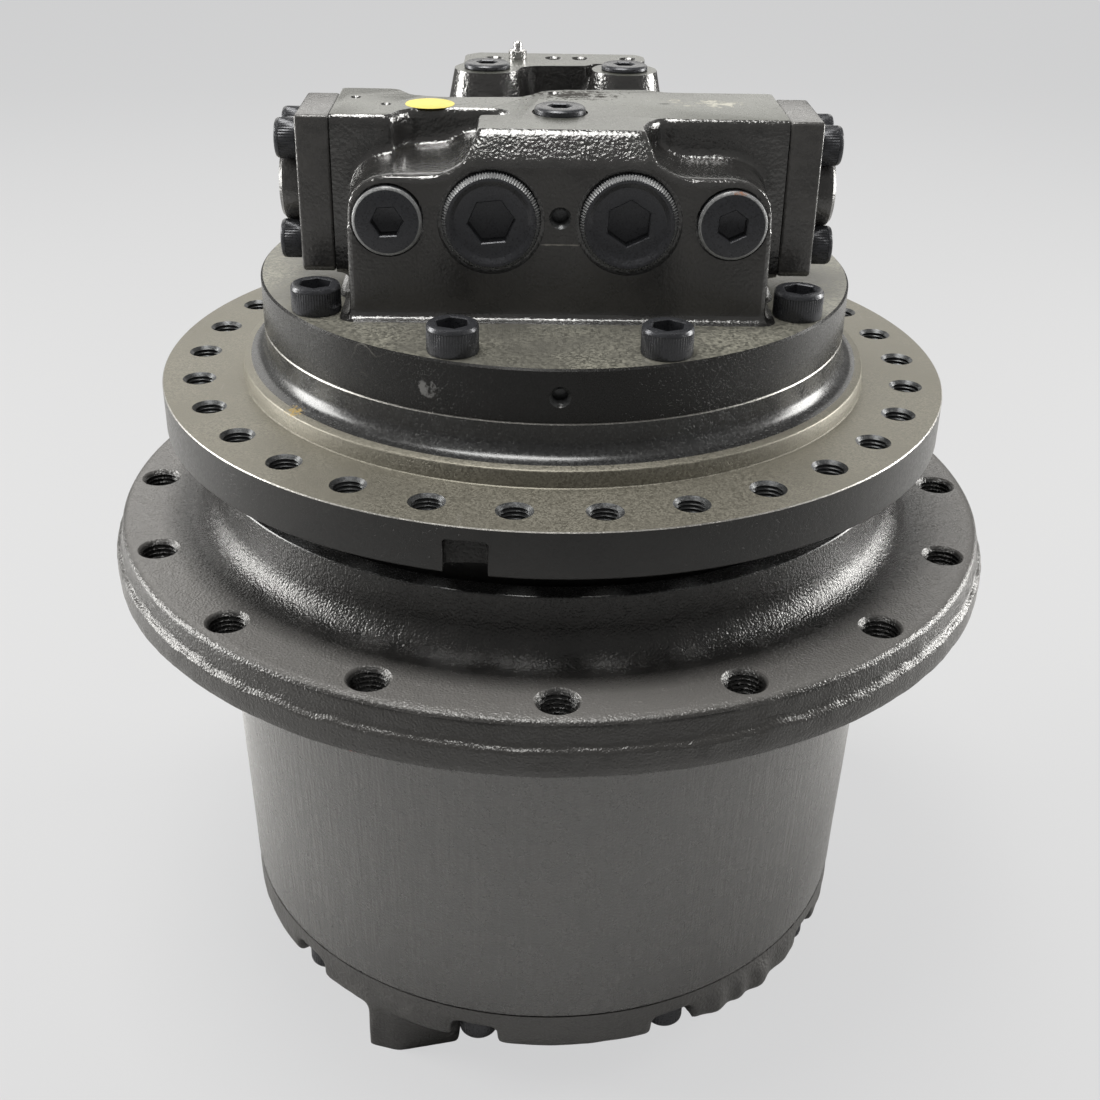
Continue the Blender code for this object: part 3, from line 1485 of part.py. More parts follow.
def build_spool():
    """The counterbalance spool, and the bar that cuts its bore."""
    half = SPOOL_LENGTH / 2
    groove = SPOOL_BORE * SPOOL_GROOVE_SHARE
    land = SPOOL_BORE
    turned(
        "counterbalance_spool",
        [
            (0.0, half),
            (land, half),
            (land, half * 0.45),
            (groove, half * 0.45),
            (groove, half * 0.15),
            (land, half * 0.15),
            (land, -half * 0.15),
            (groove, -half * 0.15),
            (groove, -half * 0.45),
            (land, -half * 0.45),
            (land, -half),
            (0.0, -half),
        ],
        "gear",
        steps=SMALL_STEPS,
        location=(0, SPOOL_Y, Z_PORTS),
        rotation=(0, math.pi / 2, 0),
    )
    return (
        (-ARM_HALF_WIDTH - CUT_OVERSHOOT, SPOOL_Y, Z_PORTS),
        clear_bore(SPOOL_BORE, SMALL_STEPS, SEAT_GAP),
        2 * (ARM_HALF_WIDTH + CUT_OVERSHOOT),
        "X",
        SMALL_STEPS,
    )


def port_bars():
    """Bars that cut the open ports and small holes of the valve block."""
    port_z = Z_PORTS - MAIN_PORT_DROP
    bars = [
        (
            (side * MAIN_PORT_X, REAR_BACK - MAIN_PORT_DEPTH, port_z),
            MAIN_PORT_RADIUS,
            MAIN_PORT_DEPTH + CUT_OVERSHOOT,
            "Y",
            SMALL_STEPS,
        )
        for side in (-1, 1)
    ]
    spot = (0.0, REAR_BACK - DRAIN_PORT_DEPTH, Z_MOTOR_TOP + DRAIN_PORT_LIFT)
    bars.append((spot, DRAIN_PORT_RADIUS, DRAIN_PORT_DEPTH + CUT_OVERSHOOT, "Y", HOLE_SIDES))
    fronts = ((BLOCK_FRONT, Z_PORTS + PILOT_HOLE_LIFT), (-MOTOR_RADIUS, Z_MOTOR + DISC_HOLE_LIFT))
    for y, z in fronts:
        spot = (0.0, y + PILOT_HOLE_DEPTH, z)
        bars.append((spot, PILOT_HOLE_RADIUS, PILOT_HOLE_DEPTH + CUT_OVERSHOOT, "-Y", HOLE_SIDES))
    for x, inset in PAD_HOLES:
        spot = (x, REAR_BACK - inset, Z_BLOCK_TOP - PAD_HOLE_DEPTH)
        bars.append((spot, PAD_HOLE_RADIUS, PAD_HOLE_DEPTH + CUT_OVERSHOOT, "Z", HOLE_SIDES))
    return bars


def build_valve_block():
    top = Z_BLOCK_TOP
    block = turned(
        "valve_block",
        [
            (0.0, Z_MOTOR_TOP),
            (MOTOR_RADIUS - 0.001, Z_MOTOR_TOP),
            (MOTOR_RADIUS, Z_MOTOR_TOP - 0.001),
            (MOTOR_RADIUS, Z_MOTOR),
            (0.0, Z_MOTOR),
        ],
        "gloss",
    )
    front = plate("block_front", [front_outline()], 0.001 - ARM_BACK, -BLOCK_FRONT, axis="-Y")
    arms = plate("block_arms", [top_outline()], Z_ARM, top)
    bevel = plate(
        "block_bulge_bevel",
        [bulge_bevel_outline()],
        -BULGE_HALF_WIDTH + 0.003,
        BULGE_HALF_WIDTH - 0.003,
        axis="X",
    )
    rear = plate("block_rear", [rear_outline()], Z_MOTOR_TOP - 0.002, Z_VALLEY)
    pad = plate("block_rear_pad", [port_block_outline()], Z_VALLEY - 0.003, top)
    bosses = rods(
        "block_bosses",
        [(side * BOSS_X, BOSS_Y, Z_VALLEY - 0.004) for side in (-1, 1)],
        BOSS_FOOT_RADIUS,
        top - Z_VALLEY + 0.0035,
        sides=SMALL_STEPS,
        top=BOSS_TOP_RADIUS,
    )
    join(block, front, arms, bevel, rear, pad, bosses)
    wide, narrow = build_block_plugs()
    narrow.append(build_bleed_fitting())
    narrow += build_motor_bolts()
    narrow += port_bars()
    cut(block, drills("block_counterbores", wide), drills("block_holes", narrow))
    cut(block, drills("spool_bore", [build_spool()]))
    build_side_cover("side_cover_left", -1)
    build_side_cover("side_cover_right", 1)


def main():
    clear_collections()
    build_end_cover()
    build_sprocket_hub()
    build_spindle()
    build_main_bearings()
    build_bearing_nut()
    build_face_seal()
    build_gear_train()
    build_planet_holder()
    build_drive_shaft()
    build_shaft_bearing()
    build_motor()
    build_brake()
    build_valve_block()
    smooth_round_pieces()


main()
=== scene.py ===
# %% [markdown]
# # Excavator final drive
# A tracked excavator moves on two of these. The drum and the big flange turn, the upper
# flange is bolted to the track frame, and the black casting on top is the valve block of
# the hydraulic motor. The moving skeleton is already modelled, so this notebook gives it
# fine surfaces and finishes.

# %% Load the skeleton
import math

import bmesh
import bpy
from mathutils import Matrix, Vector, noise


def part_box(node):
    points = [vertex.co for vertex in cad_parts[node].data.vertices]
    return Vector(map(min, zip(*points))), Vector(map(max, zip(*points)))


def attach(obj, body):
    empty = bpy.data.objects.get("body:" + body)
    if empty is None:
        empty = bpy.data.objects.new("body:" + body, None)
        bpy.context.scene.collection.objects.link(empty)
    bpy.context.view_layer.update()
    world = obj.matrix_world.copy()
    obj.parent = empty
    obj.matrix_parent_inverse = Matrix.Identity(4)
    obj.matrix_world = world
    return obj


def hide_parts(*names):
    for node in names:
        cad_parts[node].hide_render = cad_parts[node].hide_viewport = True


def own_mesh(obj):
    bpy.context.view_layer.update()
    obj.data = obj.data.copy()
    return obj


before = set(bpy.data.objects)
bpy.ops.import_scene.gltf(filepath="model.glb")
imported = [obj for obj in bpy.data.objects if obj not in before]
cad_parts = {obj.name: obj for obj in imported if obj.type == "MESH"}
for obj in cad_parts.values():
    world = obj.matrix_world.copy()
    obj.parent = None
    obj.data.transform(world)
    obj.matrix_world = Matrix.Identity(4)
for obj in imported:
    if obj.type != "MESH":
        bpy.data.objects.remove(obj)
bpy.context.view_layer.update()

scene = bpy.context.scene
scene.view_settings.view_transform = "Standard"

# %% [markdown]
# The camera comes first. Its place was worked out from the bolt circles, which are known
# circles seen in perspective. It looks down by 28.5 degrees through a 48 mm lens, and it
# leans a little to one side, as a hand held camera does.

# %% Camera
camera = bpy.data.objects.new("camera", bpy.data.cameras.new("camera"))
scene.collection.objects.link(camera)
camera.data.lens = 48.0
camera.data.sensor_width = 36.0
line_of_sight = Vector((0.0209, 0.8783, -0.4777))
lean = Matrix.Rotation(math.radians(1.157), 4, "Z")
camera.matrix_world = (
    Matrix.Translation((-0.0176, -0.7599, 0.6552))
    @ line_of_sight.to_track_quat("-Z", "Y").to_matrix().to_4x4()
    @ lean
)
scene.camera = camera
print("camera at", tuple(round(c, 4) for c in camera.matrix_world.translation))

# %% [markdown]
# ## Helpers for nodes
# A node needs its options set and its inputs filled, either with a plain value or with
# another node's output. One small function does both, so that each material further down
# reads as a list of what it is made of.

# %% Helpers for nodes
def add(tree, kind, inputs=None, **options):
    """Add a node with its options; each input gets a value or another node's output."""
    item = tree.nodes.new(kind)
    for key, value in options.items():
        setattr(item, key, value)
    for key, value in (inputs or {}).items():
        if isinstance(value, bpy.types.NodeSocket):
            tree.links.new(value, item.inputs[key])
        else:
            item.inputs[key].default_value = value
    return item


def maths(tree, operation, first, second=0.0):
    return add(tree, "ShaderNodeMath", {0: first, 1: second}, operation=operation).outputs[0]


def spread(tree, value, low, high, new_low=0.0, new_high=1.0):
    """Stretch the values between low and high over a new range."""
    limits = {"From Min": low, "From Max": high, "To Min": new_low, "To Max": new_high}
    return add(tree, "ShaderNodeMapRange", {"Value": value, **limits}).outputs[0]


def noise_of(tree, place, scale, detail, roughness=0.5):
    values = {"Vector": place, "Scale": scale, "Detail": detail, "Roughness": roughness}
    return add(tree, "ShaderNodeTexNoise", values).outputs["Fac"]


def camera_only(tree, seen, others):
    """Show one shader to the camera and another one to every other ray."""
    path = tree.nodes.new("ShaderNodeLightPath")
    shaders = {0: path.outputs["Is Camera Ray"], 1: others, 2: seen}
    return add(tree, "ShaderNodeMixShader", shaders).outputs[0]


# %% [markdown]
# ## Floor and light
# The object stands on a pale floor in an even pale world. The floor gives most of its own
# brightness to the camera only, so it looks even while it still takes a shadow, and the
# object isn't lit by a glowing ground.

# %% Floor and world
PALE = (0.748, 0.750, 0.756, 1.0)
FLOOR_GREY = (0.45, 0.45, 0.45, 1.0)
FLOOR_OWN_LIGHT = 0.80


def make_floor():
    bm = bmesh.new()
    bmesh.ops.create_circle(bm, cap_ends=True, segments=64, radius=14.0)
    mesh = bpy.data.meshes.new("floor")
    bm.to_mesh(mesh)
    bm.free()
    floor = bpy.data.objects.new("floor", mesh)
    scene.collection.objects.link(floor)
    material = bpy.data.materials.new("pale_floor")
    material.use_nodes = True
    tree = material.node_tree
    tree.nodes.clear()
    matt = add(tree, "ShaderNodeBsdfDiffuse", {"Color": FLOOR_GREY}).outputs[0]
    glow = add(tree, "ShaderNodeEmission", {"Color": PALE}).outputs[0]
    lit = add(tree, "ShaderNodeMixShader", {0: FLOOR_OWN_LIGHT, 1: matt, 2: glow}).outputs[0]
    add(tree, "ShaderNodeOutputMaterial", {"Surface": camera_only(tree, lit, matt)})
    mesh.materials.append(material)


def make_world():
    scene.world = bpy.data.worlds.new("even_world")
    scene.world.use_nodes = True
    tree = scene.world.node_tree
    even = tree.nodes["Background"]
    even.inputs["Color"].default_value = (1.0, 0.985, 0.955, 1.0)
    even.inputs["Strength"].default_value = 0.25
    seen = add(tree, "ShaderNodeBackground", {"Color": PALE}).outputs[0]
    surface = tree.nodes["World Output"].inputs["Surface"]
    tree.links.new(camera_only(tree, seen, even.outputs[0]), surface)


make_floor()
make_world()
print("floor and world made")

# %% [markdown]
# Four soft lamps light the object: one above, one behind for the gloss of the flat tops,
# and one at each side for the glints on the round castings. An area lamp shines along its
# own -Z, so its turn is found from the way it should look.

# %% Lamps
WARM_WHITE = (1.0, 0.985, 0.95)
LAMPS = {
    # name: place, height it looks at, width and height in metres, watts
    "lamp_behind": ((-0.2, 1.9, 1.35), 0.40, (2.8, 1.1), 15.0),
    "lamp_above": ((-0.25, -0.15, 2.3), 0.40, (1.0, 0.8), 39.0),
    "lamp_left": ((-1.9, 0.3, 0.8), 0.30, (0.8, 1.3), 52.0),
    "lamp_right": ((1.9, 0.5, 0.7), 0.25, (0.7, 1.2), 50.0),
}
for name, (place, aim, size, watts) in LAMPS.items():
    lamp = bpy.data.lights.new(name, "AREA")
    lamp.shape = "RECTANGLE"
    lamp.size, lamp.size_y = size
    lamp.energy = watts
    lamp.color = WARM_WHITE
    item = bpy.data.objects.new(name, lamp)
    scene.collection.objects.link(item)
    way = Vector((0, 0, aim)) - Vector(place)
    item.matrix_world = Matrix.Translation(place) @ way.to_track_quat("-Z", "Y").to_matrix().to_4x4()
print("lamps:", sorted(LAMPS))

# %% [markdown]
# ## Effects that several finishes share
# Each effect is a node group with named sockets: the skin of a sand casting, the fine
# sparkle of a machined face, run marks that follow the drum's height, thin scratches, and
# a stain at one place. A group can be reused with other values, which keeps the finishes
# short to read.

# %% Start of a node group
def open_group(name, inputs, outputs):
    """Start an effect: its tree, its inputs, its outputs and the place on the object."""
    tree = bpy.data.node_groups.new(name, "ShaderNodeTree")
    for label, value in inputs:
        socket = tree.interface.new_socket(label, in_out="INPUT", socket_type="NodeSocketFloat")
        socket.default_value = value
    for label in outputs:
        tree.interface.new_socket(label, in_out="OUTPUT", socket_type="NodeSocketFloat")
    start = tree.nodes.new("NodeGroupInput")
    end = tree.nodes.new("NodeGroupOutput")
    place = tree.nodes.new("ShaderNodeTexCoord").outputs["Object"]
    print("effect:", name, "gives", outputs)
    return tree, start.outputs, end.inputs, place


# %% [markdown]
# A sand casting keeps the print of the sand: fine grains and wider lumps. Paint then fills
# the finest of it. A smooth Voronoi pattern gives the rounded pebbles.

# %% Effect: cast skin
def make_cast_skin():
    tree, start, end, place = open_group(
        "cast_skin", [("Grain", 420.0), ("Lumps", 60.0)], ["Height", "Mottle"]
    )
    fine = noise_of(tree, place, start["Grain"], 3.0, 0.6)
    lumps = noise_of(tree, place, start["Lumps"], 4.0)
    cells = add(
        tree, "ShaderNodeTexVoronoi", {"Vector": place, "Scale": start["Grain"]}, feature="SMOOTH_F1"
    )
    cells.inputs["Smoothness"].default_value = 0.6
    height = maths(tree, "ADD", fine, maths(tree, "MULTIPLY", cells.outputs["Distance"], -0.8))
    height = maths(tree, "ADD", height, maths(tree, "MULTIPLY", lumps, 1.2))
    tree.links.new(height, end["Height"])
    tree.links.new(spread(tree, lumps, 0.35, 0.65), end["Mottle"])
    return tree


CAST_SKIN = make_cast_skin()

# %% [markdown]
# A face left bare by the cutter sparkles: each grain of the metal throws back a little
# more or less light than the one beside it.

# %% Effect: metal sparkle
def make_sparkle():
    tree, start, end, place = open_group("metal_sparkle", [("Size", 900.0)], ["Sparkle", "Stain"])
    cells = add(tree, "ShaderNodeTexVoronoi", {"Vector": place, "Scale": start["Size"]})
    shade = add(tree, "ShaderNodeSeparateColor", {"Color": cells.outputs["Color"]})
    stain = noise_of(tree, place, 14.0, 5.0, 0.62)
    tree.links.new(shade.outputs[0], end["Sparkle"])
    tree.links.new(spread(tree, stain, 0.42, 0.66), end["Stain"])
    return tree


SPARKLE = make_sparkle()

# %% [markdown]
# Paint that was brushed or ran down a drum leaves upright marks. The pattern is laid on
# the unrolled drum: the angle round the axis, times the width, runs across it, and the
# height runs along it. The width is far larger than the height, so each spot of the noise
# is drawn out into a streak.

# %% Effect: upright run marks
def make_run_marks():
    tree, start, end, place = open_group("run_marks", [("Width", 2.5)], ["Mark"])
    split = add(tree, "ShaderNodeSeparateXYZ", {"Vector": place}).outputs
    angle = maths(tree, "ARCTAN2", split["X"], maths(tree, "MULTIPLY", split["Y"], -1.0))
    across = maths(tree, "MULTIPLY", angle, start["Width"])
    unrolled = add(tree, "ShaderNodeCombineXYZ", {"X": across, "Z": split["Z"]})
    marks = noise_of(tree, unrolled.outputs[0], 24.0, 6.0, 0.62)
    tree.links.new(spread(tree, marks, 0.40, 0.68), end["Mark"])
    return tree


RUN_MARKS = make_run_marks()

# %% [markdown]
# Scratches are the thin lines where a drawn out noise passes its middle value, kept only
# where a second, wide noise says that something rubbed there.

# %% Effect: scratches
def make_scratches():
    tree, start, end, place = open_group("scratches", [("Size", 26.0), ("Amount", 0.5)], ["Line"])
    drawn_out = add(tree, "ShaderNodeMapping", {
        "Vector": place, "Rotation": (0.5, 0.3, 0.9), "Scale": (1.0, 0.012, 1.0)
    })
    waves = noise_of(tree, drawn_out.outputs[0], start["Size"], 1.0)
    middle = maths(tree, "ABSOLUTE", maths(tree, "SUBTRACT", waves, 0.5))
    line = spread(tree, middle, 0.0, 0.006, 1.0, 0.0)
    rubbed = spread(tree, noise_of(tree, place, 17.0, 4.0), 0.60, 0.70)
    kept = maths(tree, "MULTIPLY", maths(tree, "MULTIPLY", line, rubbed), start["Amount"])
    tree.links.new(kept, end["Line"])
    return tree


SCRATCHES = make_scratches()

# %% [markdown]
# A patch is a stain, a worn spot or some residue at one place. Its mask is full at the
# middle and breaks up into specks further out, because a noise is added to the distance.

# %% Effect: local patch
PATCH_SOCKETS = ("X", "Y", "Z", "Wide", "Deep", "High", "Grain", "Fill")


def make_patch():
    tree, start, end, place = open_group(
        "local_patch", [(label, 0.02) for label in PATCH_SOCKETS], ["Mask"]
    )
    x, y, z, wide, deep, high, grain, fill = [start[label] for label in PATCH_SOCKETS]
    centre = add(tree, "ShaderNodeCombineXYZ", {0: x, 1: y, 2: z}).outputs[0]
    reach = add(tree, "ShaderNodeCombineXYZ", {0: wide, 1: deep, 2: high}).outputs[0]
    away = add(tree, "ShaderNodeVectorMath", {0: place, 1: centre}, operation="SUBTRACT").outputs[0]
    share = add(tree, "ShaderNodeVectorMath", {0: away, 1: reach}, operation="DIVIDE").outputs[0]
    far = add(tree, "ShaderNodeVectorMath", {0: share}, operation="LENGTH").outputs["Value"]
    level = maths(tree, "ADD", noise_of(tree, place, grain, 4.0, 0.7), fill)
    level = maths(tree, "SUBTRACT", level, maths(tree, "MULTIPLY", far, 0.35))
    tree.links.new(spread(tree, level, 0.60, 0.70), end["Mask"])
    return tree


PATCH = make_patch()

# %% [markdown]
# ## Finishes
# Every finish starts from the same recipe: two colours mixed by a mask, a roughness that
# follows it, and a bump from the height. What differs are the values, and which effects
# take part.

# %% Parts of a recipe
def colour_of(grey, warm=0.0):
    return (grey * (1 + warm), grey, grey * (1 - warm), 1.0)


def effect(tree, group, **values):
    """Place an effect with its own values and hand back its outputs."""
    return add(tree, "ShaderNodeGroup", values, node_tree=group).outputs


def mix_colours(tree, mask, first, second):
    return add(tree, "ShaderNodeMix", {0: mask, 6: first, 7: second}, data_type="RGBA").outputs[2]


def start_finish(name, metallic=0.0, specular=0.5, coat=0.0):
    """A new material whose even values sit on the shader's own sockets."""
    print("finish:", name)
    material = bpy.data.materials.new(name)
    material.use_nodes = True
    tree = material.node_tree
    shader = tree.nodes["Principled BSDF"].inputs
    shader["Metallic"].default_value = metallic
    shader["Specular IOR Level"].default_value = specular
    shader["Coat Weight"].default_value = coat
    shader["Coat Roughness"].default_value = 0.10
    return material, tree, shader


def end_finish(tree, shader, base, gloss, height, depth):
    bump = add(tree, "ShaderNodeBump", {"Height": height, "Strength": 1.0, "Distance": depth})
    tree.links.new(base, shader["Base Color"])
    tree.links.new(gloss, shader["Roughness"])
    tree.links.new(bump.outputs[0], shader["Normal"])


# %% [markdown]
# A stain is a patch with a colour of its own. It is also duller than the face round it, so
# its mask is added to the roughness too.

# %% Stains
def stain(place, size, grain, fill, colour):
    return dict(zip(PATCH_SOCKETS, (*place, *size, grain, fill))), colour


def stained(tree, base, gloss, stains):
    for values, colour in stains:
        mask = effect(tree, PATCH, **values)["Mask"]
        base = mix_colours(tree, mask, base, colour)
        gloss = maths(tree, "ADD", gloss, maths(tree, "MULTIPLY", mask, 0.45))
    return base, gloss


# %% [markdown]
# ## Painted castings
# Black paint over a rough casting. The drum is satin with run marks, the big flange is
# darker with a lighter ledge and edge, and the valve block is glossier with a stronger
# pebble. The ledge's lighter ring is partly dust and partly painted light, for the light
# that its upward face catches. The ledge and the edge are told apart by their radius and
# height.

# %% Recipe of a painted casting
def ring_mask(tree, inner, outer, low, high):
    """Grows from the inner to the outer radius, and from the low to the high level."""
    place = tree.nodes.new("ShaderNodeTexCoord").outputs["Object"]
    flat = add(tree, "ShaderNodeVectorMath", {0: place, 1: (1, 1, 0)}, operation="MULTIPLY")
    radius = add(tree, "ShaderNodeVectorMath", {0: flat.outputs[0]}, operation="LENGTH")
    level = add(tree, "ShaderNodeSeparateXYZ", {0: place}).outputs["Z"]
    outwards = spread(tree, radius.outputs["Value"], inner, outer)
    return maths(tree, "MULTIPLY", outwards, spread(tree, level, low, high))


def painted_casting(
    name, dark, light, rough, grain, lumps, depth, specular=0.8, coat=0.0, marks=0.0,
    rings=(), stains=(),
):
    material, tree, shader = start_finish(name, specular=specular, coat=coat)
    skin = effect(tree, CAST_SKIN, Grain=grain, Lumps=lumps)
    base = mix_colours(tree, skin["Mottle"], dark, light)
    gloss = spread(tree, skin["Mottle"], 0.0, 1.0, *rough)
    height = skin["Height"]
    for limits, colour in rings:
        base = mix_colours(tree, ring_mask(tree, *limits), base, colour)
    if marks:
        mark = effect(tree, RUN_MARKS)["Mark"]
        lighter = tuple(c * 2.4 for c in light[:3]) + (1.0,)
        base = mix_colours(tree, maths(tree, "MULTIPLY", mark, 0.3 * marks), base, lighter)
        height = maths(tree, "ADD", height, maths(tree, "MULTIPLY", mark, 2.0 * marks))
    base, gloss = stained(tree, base, gloss, stains)
    end_finish(tree, shader, base, gloss, height, depth)
    return material


# %% [markdown]
# Each casting gets its own two greys, its roughness range, the grain and lumps of its sand
# (a higher number is finer) and the depth of its relief in metres.

# %% Painted castings
DRUM_PAINT = painted_casting(
    "drum_paint", colour_of(0.036, 0.02), colour_of(0.048, 0.03), (0.22, 0.32),
    grain=640.0, lumps=90.0, depth=0.00042, specular=1.0, coat=0.8, marks=0.60,
)
FLANGE_EDGE = (0.2330, 0.2380, 0.0, 0.001)
# The ledge's ring is painted lighter: partly dust, partly painted light on its upward face.
LEDGE_DUST_AND_LIGHT = (0.2035, 0.2180, 0.2856, 0.2867)
RED_SMEAR = stain((-0.090, -0.2255, 0.2600), (0.012, 0.010, 0.0025), 500, 0.16, (0.28, 0.05, 0.03, 1))
FLANGE_PAINT = painted_casting(
    "flange_paint", colour_of(0.015, 0.02), colour_of(0.022, 0.03), (0.19, 0.28),
    grain=850.0, lumps=120.0, depth=0.00032, specular=0.6,
    rings=[(FLANGE_EDGE, colour_of(0.040, 0.03)), (LEDGE_DUST_AND_LIGHT, colour_of(0.115, 0.03))],
    stains=[RED_SMEAR],
)
NOTCH_CAST = painted_casting(
    "notch_raw_casting", colour_of(0.010, 0.02), colour_of(0.017, 0.03), (0.42, 0.60),
    grain=520.0, lumps=170.0, depth=0.00060, specular=0.5,
)
BLOCK_PAINT = painted_casting(
    "block_paint", colour_of(0.017, 0.02), colour_of(0.025, 0.03), (0.13, 0.21),
    grain=620.0, lumps=190.0, depth=0.00028, specular=1.0, coat=0.7,
)
STEP_LINE = stain((0.0, -0.0910, 0.4534), (0.010, 0.05, 0.0004), 300, 0.45, (0.24, 0.23, 0.21, 1))
# The front face has the block's own paint. Its colour is made about twice as light as the block's, to
# make up for the little light that reaches the front: painted light. Its duller gloss and finer pebble
# are its own.
BLOCK_FACE_LIGHTENED_PAINT = painted_casting(
    "block_face_lightened_paint", colour_of(0.036, 0.02), colour_of(0.048, 0.03), (0.24, 0.34),
    grain=620.0, lumps=60.0, depth=0.00016, specular=0.6, marks=0.10, stains=[STEP_LINE],
)
ORANGE_CHIP = stain((0.1300, -0.0450, 0.4988), (0.006, 0.012, 0.006), 600, 0.20, (0.45, 0.26, 0.10, 1))
SIDE_COVER_PAINT = painted_casting(
    "side_cover_paint", colour_of(0.044, 0.02), colour_of(0.060, 0.03), (0.22, 0.32),
    grain=620.0, lumps=150.0, depth=0.00016, stains=[ORANGE_CHIP],
)
COVER_PAINT = painted_casting(
    "cover_paint", colour_of(0.046, 0.02), colour_of(0.062, 0.03), (0.28, 0.42),
    grain=600.0, lumps=60.0, depth=0.00045, marks=0.15,
)

# %% [markdown]
# ## Machined faces
# The top of the upper flange is bare and olive grey, and its edge is dark. The flat top of
# the valve block is thinly painted, with patches where the paint has worn off. All of them
# share the sparkle, a wide stain and a few thin scratches.

# %% Recipe of a machined face
def machined_face(
    name, dark, light, rough, metallic, size=900.0, worn=None, depth=0.00005, specular=0.5,
    scratched=0.4, stains=(),
):
    material, tree, shader = start_finish(name, metallic, specular)
    grain = effect(tree, SPARKLE, Size=size)
    base = mix_colours(tree, grain["Sparkle"], dark, light)
    if worn:
        base = mix_colours(tree, grain["Stain"], base, worn)
    line = effect(tree, SCRATCHES, Size=40.0, Amount=scratched)["Line"]
    base = mix_colours(tree, line, base, (0.35, 0.34, 0.31, 1.0))
    gloss = spread(tree, grain["Sparkle"], 0.0, 1.0, *rough)
    base, gloss = stained(tree, base, gloss, stains)
    end_finish(tree, shader, base, gloss, grain["Sparkle"], depth)
    return material


# %% [markdown]
# The upper flange needs three of them: its bare top, its dark edge and the bright chamfer
# between. The neck above it, the disc and the disc's side have one each.

# %% Faces of the flanges
RESIDUE = stain((-0.1268, -0.1027, 0.3730), (0.010, 0.010, 0.006), 700, 0.22, (0.42, 0.30, 0.10, 1))
OLIVE_FACE = machined_face(
    "olive_bare_face", (0.135, 0.127, 0.103, 1), (0.260, 0.248, 0.207, 1), (0.38, 0.55), 0.6,
    size=1300.0, worn=(0.180, 0.170, 0.140, 1), stains=[RESIDUE],
)
BRIGHT_EDGE = machined_face(
    "bright_edge", (0.28, 0.275, 0.26, 1), (0.42, 0.41, 0.39, 1), (0.30, 0.42), 0.8, size=1500.0
)
DARK_RIM = machined_face(
    "dark_rim", colour_of(0.012), colour_of(0.018), (0.28, 0.38), 0.2, size=700.0,
    worn=colour_of(0.022, 0.02), scratched=0.0,
)
TURNED_NECK = machined_face(
    "turned_neck", colour_of(0.050, -0.02), colour_of(0.085, -0.02), (0.20, 0.30), 0.6,
    worn=colour_of(0.045), stains=[RESIDUE],
)
DISC_TOP = machined_face(
    "disc_top", (0.080, 0.079, 0.068, 1), (0.300, 0.293, 0.246, 1), (0.34, 0.50), 0.3,
    worn=(0.120, 0.117, 0.102, 1),
)
SCUFF = stain((-0.0595, -0.1425, 0.4020), (0.0100, 0.010, 0.007), 300, 0.27, (0.20, 0.20, 0.20, 1))
DISC_SIDE = machined_face(
    "disc_side", colour_of(0.008), colour_of(0.012), (0.22, 0.30), 0.1, size=1200.0,
    worn=colour_of(0.015), specular=0.35, stains=[SCUFF],
)

# %% [markdown]
# On the valve block an oily mark, a bare spot and a nick lie on the milled top. The plugs
# are black oxide, whose serrated edge has worn paler, and one dot is yellow paint.

# %% Faces of the valve block and its plugs
OIL_MARK = stain((0.006, -0.002, 0.504), (0.042, 0.022, 0.01), 260, 0.27, (0.016, 0.013, 0.010, 1))
BARE_SPOT = stain((0.074, -0.018, 0.504), (0.028, 0.020, 0.01), 110, 0.24, (0.46, 0.45, 0.40, 1))
DARK_NICK = stain((0.0516, -0.0207, 0.504), (0.004, 0.0012, 0.01), 500, 0.35, (0.012, 0.011, 0.010, 1))
BLOCK_TOP = machined_face(
    "block_top", (0.098, 0.101, 0.090, 1), (0.122, 0.125, 0.111, 1), (0.27, 0.34), 0.35,
    size=1300.0, worn=(0.062, 0.062, 0.055, 1), depth=0.00002,
    stains=[OIL_MARK, BARE_SPOT, DARK_NICK],
)
COPPER_RUB = stain((0.082, -0.0940, 0.4795), (0.012, 0.010, 0.004), 900, 0.20, (0.34, 0.17, 0.11, 1))
WORN_OXIDE = machined_face(
    "worn_oxide", colour_of(0.200, -0.02), colour_of(0.320, -0.02), (0.28, 0.38), 0.35,
    size=1600.0, stains=[COPPER_RUB],
)
BLACK_OXIDE = machined_face(
    "black_oxide", (0.033, 0.034, 0.038, 1), (0.056, 0.058, 0.066, 1), (0.26, 0.36), 0.45,
    size=1400.0, worn=(0.046, 0.048, 0.054, 1), depth=0.00003, scratched=0.0,
)
YELLOW = machined_face(
    "yellow_mark", (0.58, 0.49, 0.085, 1), (0.66, 0.57, 0.12, 1), (0.42, 0.50), 0.0, size=500.0
)

# %% [markdown]
# The threads are dark steel. Ground steel, bearing steel and bronze are for what stays
# inside, brighter because nothing has touched it but oil.

# %% Threads, gears and bearings
THREAD_STEEL = machined_face(
    "thread_steel", colour_of(0.060, -0.03), colour_of(0.120, -0.03), (0.30, 0.42), 0.7, size=1600.0
)
GROUND_STEEL = machined_face(
    "ground_steel", colour_of(0.36, 0.01), colour_of(0.46, 0.01), (0.26, 0.36), 1.0, size=1200.0
)
BEARING_STEEL = machined_face(
    "bearing_steel", colour_of(0.52, 0.01), colour_of(0.62, 0.01), (0.16, 0.24), 1.0, size=1500.0
)
BRONZE = machined_face(
    "bronze", (0.40, 0.26, 0.11, 1), (0.52, 0.36, 0.17, 1), (0.28, 0.38), 1.0, size=1200.0
)

# %% [markdown]
# ## Helpers for shapes
# A turned piece starts as a few points of its outline, whose corners are rounded by a
# vertex bevel, and one spin makes the body. Castings with soft corners start as plain
# overlapping blocks: a voxel remesh fuses them, and smoothing rounds every corner, as
# sand moulding does. Machined faces are then cut in, so they stay crisp.

# %% Piece and outline helpers
def fit_normals(bm):
    bmesh.ops.remove_doubles(bm, verts=bm.verts, dist=0.000002)
    bmesh.ops.recalc_face_normals(bm, faces=bm.faces)
    return bm


